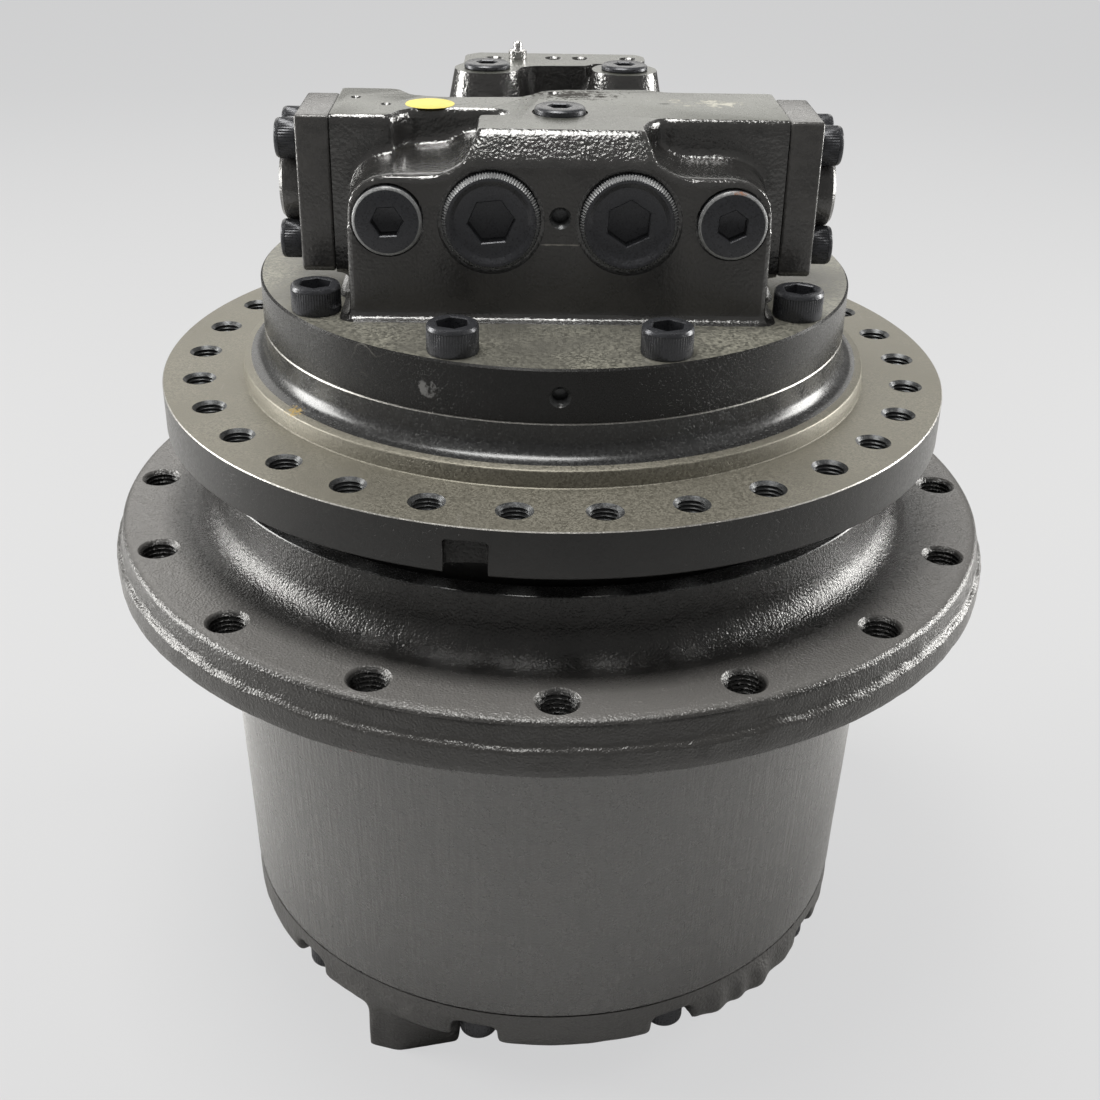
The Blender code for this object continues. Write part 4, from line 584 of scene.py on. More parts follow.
def spun(profile, steps):
    """Turn an outline of (radius, height) or (radius, height, rounding) into a closed body."""
    bm = bmesh.new()
    corners = [bm.verts.new((point[0], 0, point[1])) for point in profile]
    for first, second in zip(corners, corners[1:]):
        bm.edges.new((first, second))
    if profile[0][0] > 0 or profile[-1][0] > 0:
        bm.edges.new((corners[-1], corners[0]))
    for corner, point in zip(corners, profile):
        if len(point) > 2:
            bmesh.ops.bevel(
                bm, geom=[corner], offset=point[2], segments=4, profile=0.5,
                affect="VERTICES", material=-1,
            )
    bmesh.ops.spin(
        bm, geom=bm.verts[:] + bm.edges[:], cent=(0, 0, 0), axis=(0, 0, 1),
        angle=2 * math.pi, steps=steps, use_merge=True,
    )
    return fit_normals(bm)


def moved(bm, place=(0, 0, 0), turn=None):
    matrix = Matrix.Translation(place) @ (turn or Matrix.Identity(4))
    bmesh.ops.transform(bm, matrix=matrix, verts=bm.verts)
    return bm


def turned(degrees, axis="Z"):
    return Matrix.Rotation(math.radians(degrees), 4, axis)


def radius_of(point):
    return math.hypot(point.x, point.y)


def push_out(vert, radius, push):
    """Move a point away from the Z axis; its radius now is given."""
    scale = (radius + push) / radius
    vert.co.x *= scale
    vert.co.y *= scale


def arc(radius, height, size, step):
    """A quarter of a circle round this centre, from beside it to below it."""
    angles = [math.radians(a) for a in range(90, -1, -step)]
    return [(radius - size * math.sin(a), height - size * math.cos(a)) for a in angles]


def in_metres(outline):
    return [(x / 1000, y / 1000) for x, y in outline]


def soften(bm, edges, width, segments, clamp=False):
    bmesh.ops.bevel(
        bm, geom=edges, offset=width, segments=segments, profile=0.5, affect="EDGES",
        clamp_overlap=clamp, material=-1,
    )


def prism(outline, low, high, turn=None):
    """A flat outline pulled up between two heights."""
    bm = bmesh.new()
    face = bm.faces.new([bm.verts.new((x, y, low)) for x, y in outline])
    pulled = bmesh.ops.extrude_face_region(bm, geom=[face])
    top = [item for item in pulled["geom"] if isinstance(item, bmesh.types.BMVert)]
    bmesh.ops.translate(bm, vec=(0, 0, high - low), verts=top)
    fit_normals(bm)
    return moved(bm, turn=turn)


def block(low, high):
    bm = bmesh.new()
    bmesh.ops.create_cube(bm, size=1.0)
    size = Vector(high) - Vector(low)
    bmesh.ops.scale(bm, vec=size, verts=bm.verts)
    return moved(bm, (Vector(high) + Vector(low)) / 2)


def bar(place, radius, length, turn=None, sides=48, top=None):
    """A round bar that starts at its place and runs along Z, or as it is turned."""
    bm = bmesh.new()
    bmesh.ops.create_cone(
        bm, cap_ends=True, segments=sides, radius1=radius,
        radius2=radius if top is None else top, depth=length,
        matrix=Matrix.Translation((0, 0, length / 2)),
    )
    return moved(bm, place, turn)


def gathered(parts):
    """Several bodies as one mesh."""
    whole = bmesh.new()
    for bm in parts:
        mesh = bpy.data.meshes.new("part")
        bm.to_mesh(mesh)
        bm.free()
        whole.from_mesh(mesh)
        bpy.data.meshes.remove(mesh)
    return whole


# %% [markdown]
# Modifiers are used as tools here: an object gets one, the result is read back as a plain
# mesh, and the modifier goes. That keeps the finished pieces simple.

# %% Tool helpers
def as_object(bm, name="work"):
    mesh = bpy.data.meshes.new(name)
    bm.to_mesh(mesh)
    bm.free()
    item = bpy.data.objects.new(name, mesh)
    scene.collection.objects.link(item)
    return item


def read_back(item):
    """The evaluated mesh of a work object as a bmesh; the object is removed."""
    bpy.context.view_layer.update()
    ready = item.evaluated_get(bpy.context.evaluated_depsgraph_get())
    mesh = bpy.data.meshes.new_from_object(ready)
    bm = bmesh.new()
    bm.from_mesh(mesh)
    bpy.data.meshes.remove(mesh)
    old = item.data
    bpy.data.objects.remove(item)
    bpy.data.meshes.remove(old)
    return bm


def cut(bm, *tools):
    """Cut closed tools out of a closed body."""
    item = as_object(bm)
    held = [as_object(tool, "tool") for tool in tools]
    for tool in held:
        step = item.modifiers.new("cut", "BOOLEAN")
        step.operation = "DIFFERENCE"
        step.solver = "MANIFOLD"
        step.object = tool
    result = read_back(item)
    for tool in held:
        mesh = tool.data
        bpy.data.objects.remove(tool)
        bpy.data.meshes.remove(mesh)
    return result


def cast(bm, voxel, rounds):
    """Fuse overlapping bodies and round their corners as a sand casting's are."""
    item = as_object(bm)
    step = item.modifiers.new("fuse", "REMESH")
    step.mode = "VOXEL"
    step.voxel_size = voxel
    result = read_back(item)
    for _ in range(rounds):
        bmesh.ops.smooth_vert(
            result, verts=result.verts, factor=0.5, use_axis_x=True, use_axis_y=True, use_axis_z=True
        )
    return result


def finish_piece(name, bm, finishes, body, nodes=(), crease=30.0):
    """Store a finished shape as a named piece that rides on a body."""
    mesh = bpy.data.meshes.new(name)
    bm.to_mesh(mesh)
    bm.free()
    for finish in finishes:
        mesh.materials.append(finish)
    mesh.shade_smooth()
    mesh.set_sharp_from_angle(angle=math.radians(crease))
    item = bpy.data.objects.new(name, mesh)
    scene.collection.objects.link(item)
    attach(item, body)
    if nodes:
        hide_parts(*nodes)
    print(f"{name}: {len(mesh.polygons)} faces")
    return item


def paint_faces(bm, number, test=lambda c, n: True):
    """Give the finish with this number to the faces whose middle and normal pass the test."""
    for face in bm.faces:
        if test(face.calc_center_median(), face.normal):
            face.material_index = number


def from_front(radius, degrees, z=0.0):
    angle = math.radians(degrees)
    return Vector((radius * math.sin(angle), -radius * math.cos(angle), z))


# %% [markdown]
# ## Threaded holes
# Both flanges are full of threaded holes. One cutter has the thread's ridges as a zigzag
# and a chamfer at the mouth. Cutting it out of the flange leaves real ridges, which catch
# the light, and no separate liners are needed.

# %% Thread cutter
def thread_cutter(place, size, pitch, low, high, chamfer=0.001, turn=None, sides=28):
    inner = size / 2 - pitch * 0.54
    outer = size / 2
    profile = [
        (0.0, high + 0.002), (outer + chamfer * 2.2, high + 0.002),
        (outer + chamfer, high + 0.0002), (outer + chamfer * 0.9, high),
        (outer - 0.0001, high - chamfer),
    ]
    for i in range(int((high - low) / pitch)):
        z = high - chamfer - pitch * 0.5 - pitch * i
        profile += [(inner, z), (outer, z - pitch * 0.5)]
    profile += [(inner, low - 0.002), (0.0, low - 0.002)]
    return moved(spun(profile, sides), place, turn)


# %% [markdown]
# ## Sprocket hub
# The hub is one casting: the drum, the big flange that carries the sprocket, and a neck
# that rises in a wide curve. The flange's edge shows the joint of the two mould halves as
# a ragged step. It is made as a turned outline, and the edge is then pushed in and out by
# a noise that follows the angle.

# %% Sprocket hub: outline and cutters
Z_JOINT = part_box("sprocket_hub")[0].z
Z_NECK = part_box("sprocket_hub")[1].z
Z_SPROCKET = 0.2596
Z_FLANGE = 0.2870
SPROCKET_CIRCLE = 0.2225
GEAR_MODULE = 0.005
RING_TEETH = 60
PRESSURE_ANGLE = math.radians(25)
BACKLASH = 0.0008
RING_TIP, RING_ROOT = 0.1453, 0.15625
RING_LOW, RING_HIGH = 0.0576, 0.1846


def hub_outline():
    neck = [(0.1775, Z_NECK, 0.0006), (0.1875, Z_NECK, 0.0012)]
    edge = [
        (0.2335, Z_FLANGE, 0.001), (0.2372, 0.2862, 0.001), (0.2389, 0.2838, 0.001),
        (0.2402, 0.2760, 0.0006), (0.2408, 0.2745, 0.0005), (0.2424, 0.2732, 0.0006),
        (0.2431, 0.2720, 0.0006), (0.2434, 0.2640, 0.0006), (0.2430, Z_SPROCKET, 0.0012),
    ]
    drum = [
        (0.1950, Z_SPROCKET), (0.1900, 0.2576), (0.1879, 0.2530), (0.1874, 0.2300),
        (0.1860, 0.1850), (0.1846, 0.1300), (0.1832, 0.0800), (0.1827, 0.0560),
        (0.1822, Z_JOINT + 0.0006), (0.1812, Z_JOINT),
    ]
    inside = [
        (0.1572, Z_JOINT), (0.1572, RING_LOW), (RING_TIP, RING_LOW), (RING_TIP, RING_HIGH),
        (0.1572, RING_HIGH), (0.1572, 0.1896), (0.1445, 0.1896), (0.1445, 0.2330),
        (0.1380, 0.2330), (0.1380, 0.2620), (0.1445, 0.2620), (0.1445, 0.2959), (0.1775, 0.2959),
    ]
    return neck + arc(0.2032, 0.3027, 0.0157, 9) + edge + drum + inside


def ring_gear_cutter():
    """Sixty tooth spaces as one prism, their flanks on 25 degree involutes."""
    pitch = GEAR_MODULE * RING_TEETH / 2
    base = pitch * math.cos(PRESSURE_ANGLE)
    outline = []
    for tooth in range(RING_TEETH):
        centre = math.radians(90 + 360 / RING_TEETH * tooth)
        sides = []
        for k in range(5):
            r = RING_TIP - 0.001 + (RING_ROOT - RING_TIP + 0.001) * k / 4
            roll = math.acos(base / r)
            half = (math.pi * GEAR_MODULE / 2 + BACKLASH) / 2 / pitch
            half += (math.tan(PRESSURE_ANGLE) - PRESSURE_ANGLE) - (math.tan(roll) - roll)
            sides.append((r, half))
        outline += [(r * math.cos(centre - h), r * math.sin(centre - h)) for r, h in sides]
        outline += [(r * math.cos(centre + h), r * math.sin(centre + h)) for r, h in reversed(sides)]
    return prism(outline, RING_LOW - 0.002, RING_HIGH + 0.003)


# %% [markdown]
# The turned outline is roughened first, then the sixteen holes and the gear's tooth spaces
# are cut. The finishes are given last, by where each face lies: the drum, the flange, the
# bare ring on top of the neck, and the gear.

# %% Sprocket hub: make it
MOULD_JOINT = (0.2715, 0.2765)


def roughen_hub(bm):
    """Push the cast skin in and out: the flange's edge most, the drum a little."""
    for vert in bm.verts:
        radius = radius_of(vert.co)
        if radius < 0.1805 and vert.co.z < 0.30:
            continue
        angle = math.atan2(vert.co.x, -vert.co.y)
        around = Vector((math.sin(angle) * 9, math.cos(angle) * 9, vert.co.z * 60))
        wave = noise.noise(around) + 0.6 * noise.noise(around * 3.1) + 0.35 * noise.noise(around * 9.0)
        if radius > 0.2385:
            push_out(vert, radius, 0.00042 * wave - 0.0005)
            if MOULD_JOINT[0] < vert.co.z < MOULD_JOINT[1]:
                vert.co.z += 0.0011 * noise.noise(around * 2.0) + 0.0005 * noise.noise(around * 7.0)
        elif radius > 0.18 and vert.co.z < Z_SPROCKET - 0.001:
            push_out(vert, radius, 0.00005 * wave)


hub = spun(hub_outline(), 480)
roughen_hub(hub)
sprocket_threads = gathered(
    [
        thread_cutter(from_front(SPROCKET_CIRCLE, 22.5 * i), 0.020, 0.0025, Z_SPROCKET, Z_FLANGE)
        for i in range(16)
    ]
)
hub = cut(hub, sprocket_threads, ring_gear_cutter())
paint_faces(hub, 0)
paint_faces(hub, 1, lambda c, n: Z_SPROCKET - 0.0005 < c.z < Z_NECK - 0.0005)
paint_faces(hub, 2, lambda c, n: c.z > Z_NECK - 0.0008 and radius_of(c) > 0.1780 and n.z > 0.3)
paint_faces(hub, 3, lambda c, n: radius_of(c) < 0.158 and c.z < 0.30)
finish_piece(
    "hub_casting", hub, [DRUM_PAINT, FLANGE_PAINT, TURNED_NECK, GROUND_STEEL], "hub",
    ["sprocket_hub"], 28.0,
)

# %% [markdown]
# ## Spindle and upper flange
# The upper flange bolts to the track frame. Its top is machined bare, its edge is dark with
# a thin bright chamfer, and a curved neck rises to the motor. Near the front left a cast
# notch breaks its lower edge. The same turned outline also holds the bores inside.

# %% Spindle
FRAME_LOW, FRAME_TOP = 0.3405, 0.3640
SPIGOT_TOP, SPINDLE_TOP = 0.3723, 0.3903
FRAME_CIRCLE = 0.190
MOTOR_CIRCLE = 0.141
MOTOR_SCREW_ANGLES = (20.15, 55.8, 124.2, 159.85, -159.85, -124.2, -55.8, -20.15)
NOTCH_SEED = 1  # noise_vector starts from the clock unless it is given a seed


def spindle_outline():
    top = [(0.088, SPINDLE_TOP), (0.1539, SPINDLE_TOP), (0.1544, SPINDLE_TOP - 0.0006)]
    flange = [
        (0.1663, SPIGOT_TOP, 0.0007), (0.1671, FRAME_TOP + 0.0004), (0.1676, FRAME_TOP),
        (0.2085, FRAME_TOP), (0.2090, FRAME_TOP - 0.0005), (0.2090, FRAME_LOW, 0.0012),
        (0.1760, FRAME_LOW, 0.002), (0.1720, FRAME_LOW - 0.004, 0.002),
    ]
    seal_and_journal = [
        (0.1720, 0.3002), (0.1680, 0.3002), (0.1680, 0.3156), (0.1460, 0.3156), (0.1460, 0.3002),
        (0.1260, 0.3002), (0.1260, 0.2923), (0.1160, 0.2923), (0.1160, 0.1826, 0.001),
    ]
    inside = [
        (0.0260, 0.1826), (0.0260, 0.1946), (0.0400, 0.1946), (0.0400, 0.2126), (0.0820, 0.2126),
        (0.0820, 0.2983), (0.0880, 0.2983),
    ]
    return top + arc(0.1624, 0.3813, 0.0080, 15) + flange + seal_and_journal + inside


def notch_tool():
    tool = block((-0.051, -0.222, FRAME_LOW - 0.010), (-0.031, -0.1935, FRAME_LOW + 0.017))
    soften(tool, tool.edges[:], 0.0022, 3)
    bmesh.ops.subdivide_edges(tool, edges=tool.edges[:], cuts=3, use_grid_fill=True)
    noise.seed_set(NOTCH_SEED)
    for vert in tool.verts:
        vert.co += 0.0006 * noise.noise_vector(vert.co * 190)
    return fit_normals(tool)


def motor_bores(low, length, sides):
    return gathered(
        [bar(from_front(MOTOR_CIRCLE, a, low), 0.0084, length, sides=sides) for a in MOTOR_SCREW_ANGLES]
    )


def in_notch(c):
    in_flange = FRAME_LOW + 0.0002 < c.z < 0.3576 and radius_of(c) < 0.2088
    return in_flange and -0.0515 < c.x < -0.0305 and c.y < -0.19


def in_thread(c):
    in_flange = FRAME_LOW + 0.0003 < c.z < FRAME_TOP - 0.0002
    return in_flange and abs(radius_of(c) - FRAME_CIRCLE) < 0.0087


spindle = spun(spindle_outline(), 420)
frame_threads = gathered(
    [
        thread_cutter(from_front(FRAME_CIRCLE, 6 + 12 * i), 0.016, 0.002, FRAME_LOW, FRAME_TOP, 0.0007)
        for i in range(30)
    ]
)
pin_bores = gathered([bar(from_front(0.09, a, 0.1776), 0.0185, 0.025) for a in (180, 300, 60)])
spindle = cut(
    spindle, frame_threads, motor_bores(SPINDLE_TOP - 0.026, 0.030, 24), pin_bores, notch_tool()
)
paint_faces(spindle, 0)
paint_faces(spindle, 1, lambda c, n: FRAME_TOP - 0.0001 < c.z < SPIGOT_TOP + 0.0009)
paint_faces(spindle, 2, lambda c, n: radius_of(c) > 0.2083 and c.z > FRAME_TOP - 0.00079 and n.z > 0.3)
paint_faces(spindle, 3, lambda c, n: in_thread(c))
paint_faces(spindle, 4, lambda c, n: in_notch(c))
paint_faces(spindle, 3, lambda c, n: radius_of(c) < 0.17 and c.z < FRAME_LOW - 0.005)
paint_faces(spindle, 5, lambda c, n: c.z > SPIGOT_TOP + 0.0009)
paint_faces(spindle, 2, lambda c, n: c.z > SPINDLE_TOP - 0.0005 and 0.5 < n.z < 0.9)
finish_piece(
    "spindle_casting", spindle,
    [DARK_RIM, OLIVE_FACE, BRIGHT_EDGE, THREAD_STEEL, NOTCH_CAST, TURNED_NECK],
    "spindle", ["spindle_housing"],
)

# %% [markdown]
# ## End cover
# The lowest casting closes the gears off and holds their oil. Around its rim ten screws sit
# in open pockets, and a bracket shaped lug stands at the front left. All of it is sand cast,
# so the plain blocks are fused and smoothed, and only the joint faces are cut flat.

# %% End cover: casting
COVER_CIRCLE = 0.169
COVER_SCREW_ANGLES = [-13 + 36 * i for i in range(10)]
COVER_PLUG_SPOTS = [from_front(0.120, a)[:2] for a in (150, 30, 270)]
POCKET_RADIUS = 0.0125


def cover_blocks():
    body = spun(
        [
            (0.0, -0.004), (0.096, -0.004), (0.101, 0.0035), (0.1345, 0.0125), (0.1530, 0.0258),
            (0.1790, 0.0270), (0.1824, 0.0315), (0.1824, 0.0620), (0.1478, 0.0620),
            (0.0940, 0.0145), (0.0200, 0.0145), (0.0200, 0.0620), (0.0, 0.0620),
        ],
        120,
    )
    lug = prism(
        [(-0.102, -0.152), (-0.089, -0.117), (-0.049, -0.128), (-0.050, -0.150), (-0.084, -0.1575)],
        -0.004, 0.045,
    )
    bosses = [bar((x, y, 0.0042), 0.020, 0.020, sides=32) for x, y in COVER_PLUG_SPOTS]
    return gathered([body, lug] + bosses)


def screw_pockets():
    """A pocket for each screw: half a circle round it, then open to the rim."""
    angles = [math.radians(t) for t in range(0, 181, 15)]
    outline = [
        (POCKET_RADIUS * math.cos(t), -COVER_CIRCLE + POCKET_RADIUS * math.sin(t)) for t in angles
    ]
    outline += [(-POCKET_RADIUS, -COVER_CIRCLE), (-0.0135, -0.200), (0.0135, -0.200)]
    return gathered([prism(outline, 0.015, 0.0405, turned(a)) for a in COVER_SCREW_ANGLES])


def swell_rim(bm):
    """Push the rim's outer face in and out, as the hand finished pattern left it."""
    bumps = [(32.0, 2.0, 0.0026), (37.2, 1.7, 0.0022), (42.6, 2.2, 0.0030), (50.0, 2.5, 0.0012)]
    rim_radius, rim_top = 0.177, 0.0505
    for vert in bm.verts:
        radius = radius_of(vert.co)
        if radius < rim_radius or vert.co.z > rim_top:
            continue
        angle = math.degrees(math.atan2(vert.co.x, -vert.co.y))
        push = sum(h * math.exp(-(((angle - a) / w) ** 2)) for a, w, h in bumps)
        push += 0.0005 * noise.noise(vert.co * 90)
        push_out(vert, radius, push * min(1.0, (rim_top - vert.co.z) / 0.008))


cover = cast(cut(cover_blocks(), screw_pockets()), 0.0019, 7)
swell_rim(cover)
joint_face = spun([(0.1562, 0.0523), (0.25, 0.0523), (0.25, 0.08), (0.1562, 0.08)], 240)
spigot_face = bar((0, 0, 0.0563), 0.17, 0.02, sides=200)
foot_face = block((-0.2, -0.2, -0.02), (0.2, 0.2, 0.0))
plug_holes = gathered([bar((x, y, 0.0), 0.0145, 0.0102, sides=40) for x, y in COVER_PLUG_SPOTS])
cover = cut(cover, joint_face, spigot_face, foot_face, plug_holes)
paint_faces(cover, 0)
finish_piece("cover_casting", cover, [COVER_PAINT], "hub", ["end_cover"])

# %% [markdown]
# ## Screws
# All the screws have knurled socket heads: upright ribs round the head for the fingers, a
# rounded top edge, and a six sided socket with a small chamfer. One helper makes them all,
# and each group of them is one mesh.

# %% Screw and plug helpers
def hex_tool(across_flats, floor, face):
    corner = across_flats / math.sqrt(3)
    return spun(
        [
            (0.0, floor - 0.0015), (corner * 0.9, floor), (corner, floor + 0.0002),
            (corner, face - 0.0005), (corner + 0.0008, face + 0.0002),
            (corner + 0.0008, face + 0.004), (0.0, face + 0.004),
        ],
        6,
    )


def rib(bm, low, high, inner, depth, steps):
    """Pull every second column of a turned body inwards between two heights."""
    for vert in bm.verts:
        radius = radius_of(vert.co)
        column = round(math.atan2(vert.co.y, vert.co.x) / (2 * math.pi) * steps)
        if radius > inner and low <= vert.co.z <= high and column % 2:
            push_out(vert, radius, -depth)


def socket_screw(head, height, across_flats, shank=0.0, grip=0.0, steps=112):
    """A cap screw with its head standing on z = 0."""
    profile = [
        (0.0, height), (head - 0.0017, height), (head - 0.0008, height - 0.0003),
        (head - 0.0002, height - 0.0011), (head, height - 0.0022), (head, height - 0.0024),
        (head, 0.0010), (head - 0.0004, 0.0001),
    ]
    if grip:
        profile += [(shank, 0.0001), (shank, -grip + 0.001), (shank - 0.001, -grip), (0.0, -grip)]
    else:
        profile += [(0.0, 0.0001)]
    screw = spun(profile, steps)
    rib(screw, 0.0009, height - 0.0023, head - 0.0003, 0.0003, steps)
    return cut(screw, hex_tool(across_flats, height * 0.42, height))


def copies(bm, matrices):
    parts = []
    for matrix in matrices:
        twin = bm.copy()
        bmesh.ops.transform(twin, matrix=matrix, verts=twin.verts)
        parts.append(twin)
    bm.free()
    return gathered(parts)


# %% [markdown]
# The end cover's screws point up from below, so they are turned upside down. Each screw
# also gets its own turn round its axis, so that their sockets don't all look alike.

# %% Screws of the end cover and the motor flange
UPSIDE_DOWN = turned(180, "X")
DISC_LOW, DISC_TOP_Z = 0.3906, 0.4163
cover_places = [
    Matrix.Translation(from_front(COVER_CIRCLE, a, 0.0404)) @ UPSIDE_DOWN @ turned(a * 3)
    for a in COVER_SCREW_ANGLES
]
cover_screws = copies(socket_screw(0.0105, 0.0125, 0.012, steps=72), cover_places)
finish_piece("cover_screws", cover_screws, [BLACK_OXIDE], "hub")
motor_places = [
    Matrix.Translation(from_front(MOTOR_CIRCLE, a, DISC_TOP_Z)) @ turned(a * 7)
    for a in MOTOR_SCREW_ANGLES
]
motor_screws = copies(socket_screw(0.012, 0.0135, 0.014, 0.0080, 0.050), motor_places)
finish_piece(
    "motor_screws", motor_screws, [BLACK_OXIDE], "spindle",
    [f"motor_bolt_{i}" for i in range(1, 9)],
)

# %% [markdown]
# ## Plugs
# The two big plugs at the front hold the relief valves. Their chamfer is serrated, and the
# face inside it is dished. The smaller ones beside them and on the top are plain. Three more
# close the oil holes in the end cover.

# %% Plugs
FACING_FRONT = turned(90, "X")
PORT_HEIGHT = 0.4640
FRONT_SEAT = -0.0880
BLOCK_TOP_Z = 0.5040
RELIEF_X = 0.032
CHECK_X = 0.080
TOP_PORT = (0.0, -0.043)
BOSS_X, BOSS_Y = 0.0373, 0.067


def relief_plug(steps=208):
    plug = spun(
        [
            (0.0, 0.0040), (0.0168, 0.0040), (0.0174, 0.0043), (0.0192, 0.0059), (0.0197, 0.0061),
            (0.0207, 0.0061), (0.0213, 0.0059), (0.0230, 0.0034), (0.0230, 0.0005), (0.0226, 0.0002),
            (0.0170, 0.0002), (0.0170, -0.0150), (0.0, -0.0150),
        ],
        steps,
    )
    rib(plug, 0.0030, 0.00605, 0.0211, 0.0008, steps)
    return cut(plug, hex_tool(0.019, -0.004, 0.0040))


def flat_plug(head, shank, face, across_flats, steps=96):
    plug = spun(
        [
            (0.0, face), (head - 0.0014, face), (head - 0.0009, face - 0.0002),
            (head - 0.0001, face - 0.0010), (head, face - 0.0014), (head, 0.0005),
            (head - 0.0004, 0.0002), (shank, 0.0002), (shank, -0.0130), (0.0, -0.0130),
        ],
        steps,
    )
    return cut(plug, hex_tool(across_flats, face - 0.0075, face))


FRONT_PLUGS = {
    # name: x, turn in degrees, radius and height beyond which its edge is worn
    "relief_plug_left": (-RELIEF_X, 6, 0.0208, 0.0032),
    "relief_plug_right": (RELIEF_X, 26, 0.0208, 0.0032),
    "check_plug_left": (-CHECK_X, 3, 0.0149, 0.0047),
    "check_plug_right": (CHECK_X, 25, 0.0149, 0.0047),
}
for name, (x, degrees, worn_radius, worn_height) in FRONT_PLUGS.items():
    plug = relief_plug() if name.startswith("relief") else flat_plug(0.0162, 0.0115, 0.0060, 0.013)
    moved(plug, turn=turned(degrees))
    paint_faces(plug, 1, lambda c, n: radius_of(c) > worn_radius and c.z > worn_height)
    moved(plug, (x, FRONT_SEAT, PORT_HEIGHT), FACING_FRONT)
    finish_piece(
        f"{name}_fine", plug, [BLACK_OXIDE, WORN_OXIDE], "spindle", [name]
    )
TOP_PLUGS = {
    # name: x, y, radius of the head, height of the seat, height of the head
    "top_port_plug": (*TOP_PORT, 0.01225, 0.5010, 0.0060),
    "rear_plug_left": (-BOSS_X, BOSS_Y, 0.0125, BLOCK_TOP_Z, 0.0030),
    "rear_plug_right": (BOSS_X, BOSS_Y, 0.0125, BLOCK_TOP_Z, 0.0030),
}
for name, (x, y, head, seat, face) in TOP_PLUGS.items():
    plug = moved(flat_plug(head, 0.0088, face, 0.010, 72), (x, y, seat))
    finish_piece(f"{name}_fine", plug, [BLACK_OXIDE], "spindle", [name])
for name, (x, y) in zip(("drain_plug", "fill_plug", "level_plug"), COVER_PLUG_SPOTS):
    plug = moved(flat_plug(0.0138, 0.0100, 0.0075, 0.012, 72), (x, y, 0.0100), UPSIDE_DOWN)
    finish_piece(f"{name}_fine", plug, [BLACK_OXIDE], "hub", [name])

# %% [markdown]
# ## Motor flange disc
# The valve block stands on a round disc, which closes the motor. Its top is bare and
# speckled, its dark side is turned smooth, and a small threaded hole looks out at the front.

# %% Motor flange disc
DISC_RADIUS = 0.1544
SIDE_HOLE_Z = 0.4031


def near(x, z, reach):
    """Whether a face seen from the front lies this close to a middle, across and up."""
    return abs(x) < reach and abs(z) < reach


disc = spun(
    [
        (0.0, DISC_TOP_Z), (0.1534, DISC_TOP_Z), (DISC_RADIUS, DISC_TOP_Z - 0.0010),
        (DISC_RADIUS, DISC_LOW + 0.0003), (0.1541, DISC_LOW), (0.0, DISC_LOW),
    ],
    360,
)
side_hole = thread_cutter(
    (0, -DISC_RADIUS, SIDE_HOLE_Z), 0.0085, 0.00125, -0.005, 0.0, 0.0009, FACING_FRONT, 24
)
disc = cut(disc, motor_bores(DISC_LOW - 0.003, 0.032, 28), side_hole)
paint_faces(disc, 0)
paint_faces(disc, 1, lambda c, n: c.z > DISC_TOP_Z - 0.0001 and n.z > 0.9)
paint_faces(disc, 2, lambda c, n: near(c.x, c.z - SIDE_HOLE_Z, 0.0046) and -0.1542 < c.y < -0.1470)
finish_piece(
    "motor_disc", disc, [DISC_SIDE, DISC_TOP, THREAD_STEEL], "spindle"
)

# %% [markdown]
# ## Valve block
# The block is one sand casting with two arms, a bulge between them, a sloping shoulder in
# front and a lower rear part with two bosses and a raised pad. Its plain blocks are fused
# with a slab at the disc's level, so that smoothing leaves a small fillet at the foot. The
# top and the two ends are then milled flat, and the ports and counterbores are cut.

# %% Valve block: plain blocks
FACE_Y = -0.0910
FRONT_EDGE = [
    (99.4, 170), (98.6, 184), (96.5, 189), (92.5, 193.5), (86, 196.6), (79, 197.6), (70, 197.4),
    (57, 197.8), (51, 199.6), (46.5, 202.6), (43, 203.6),
]


def along_y(outline, front, back):
    """A prism whose outline is given as seen from the front, from one depth to another."""
    tool = prism([(x, z) for x, z in outline], -back, -front)
    return moved(tool, turn=FACING_FRONT)


def along_x(outline, left, right):
    turn = Matrix(((0, 0, 1, 0), (1, 0, 0, 0), (0, 1, 0, 0), (0, 0, 0, 1)))
    return moved(prism(outline, left, right), turn=turn)


def shoulder_block():
    right = [(x / 1000, 0.287 + z / 1000) for x, z in FRONT_EDGE]
    left = [(-x, z) for x, z in reversed(right)]
    body = along_y([(0.0994, 0.405)] + right + left + [(-0.0994, 0.405)], FACE_Y, 0.004)
    for vert in body.verts:
        if vert.co.y > -0.05 and vert.co.z > 0.475:
            vert.co.z += 0.0045
    return body


def arms_block():
    outline = [
        (-112, -56.5), (-80, -56.5), (-75.5, -46), (-70, -40.5), (-52, -38.5), (-31, -38.3),
        (-25.5, -44), (-27, -52), (-33, -59), (-39, -63), (-40, -70), (40, -70), (43, -62),
        (49, -54.5), (53, -56.5), (112, -56.5), (112, 8.5), (106, 9.5), (56, 9), (50, 13),
        (44, 15), (0, 11.5), (-10, 7), (-15, -2), (-20, -7.5), (-57, -10), (-72, -6), (-79, 7),
        (-84, 9), (-112, 9),
    ]
    body = prism(in_metres(outline), 0.4268, 0.5049)
    rim = [e for e in body.edges if min(v.co.z for v in e.verts) > 0.50]
    soften(body, rim, 0.0032, 2, clamp=True)
    return body


def bulge_block():
    body = along_x(
        [(FACE_Y, 0.470), (-0.050, 0.470), (-0.050, 0.5050), (-0.0790, 0.5050), (-0.0822, 0.5025),
         (FACE_Y, 0.4905)],
        -0.0450, 0.0450,
    )
    for vert in body.verts:
        if vert.co.z > 0.5:
            vert.co.x *= 0.86
    return body


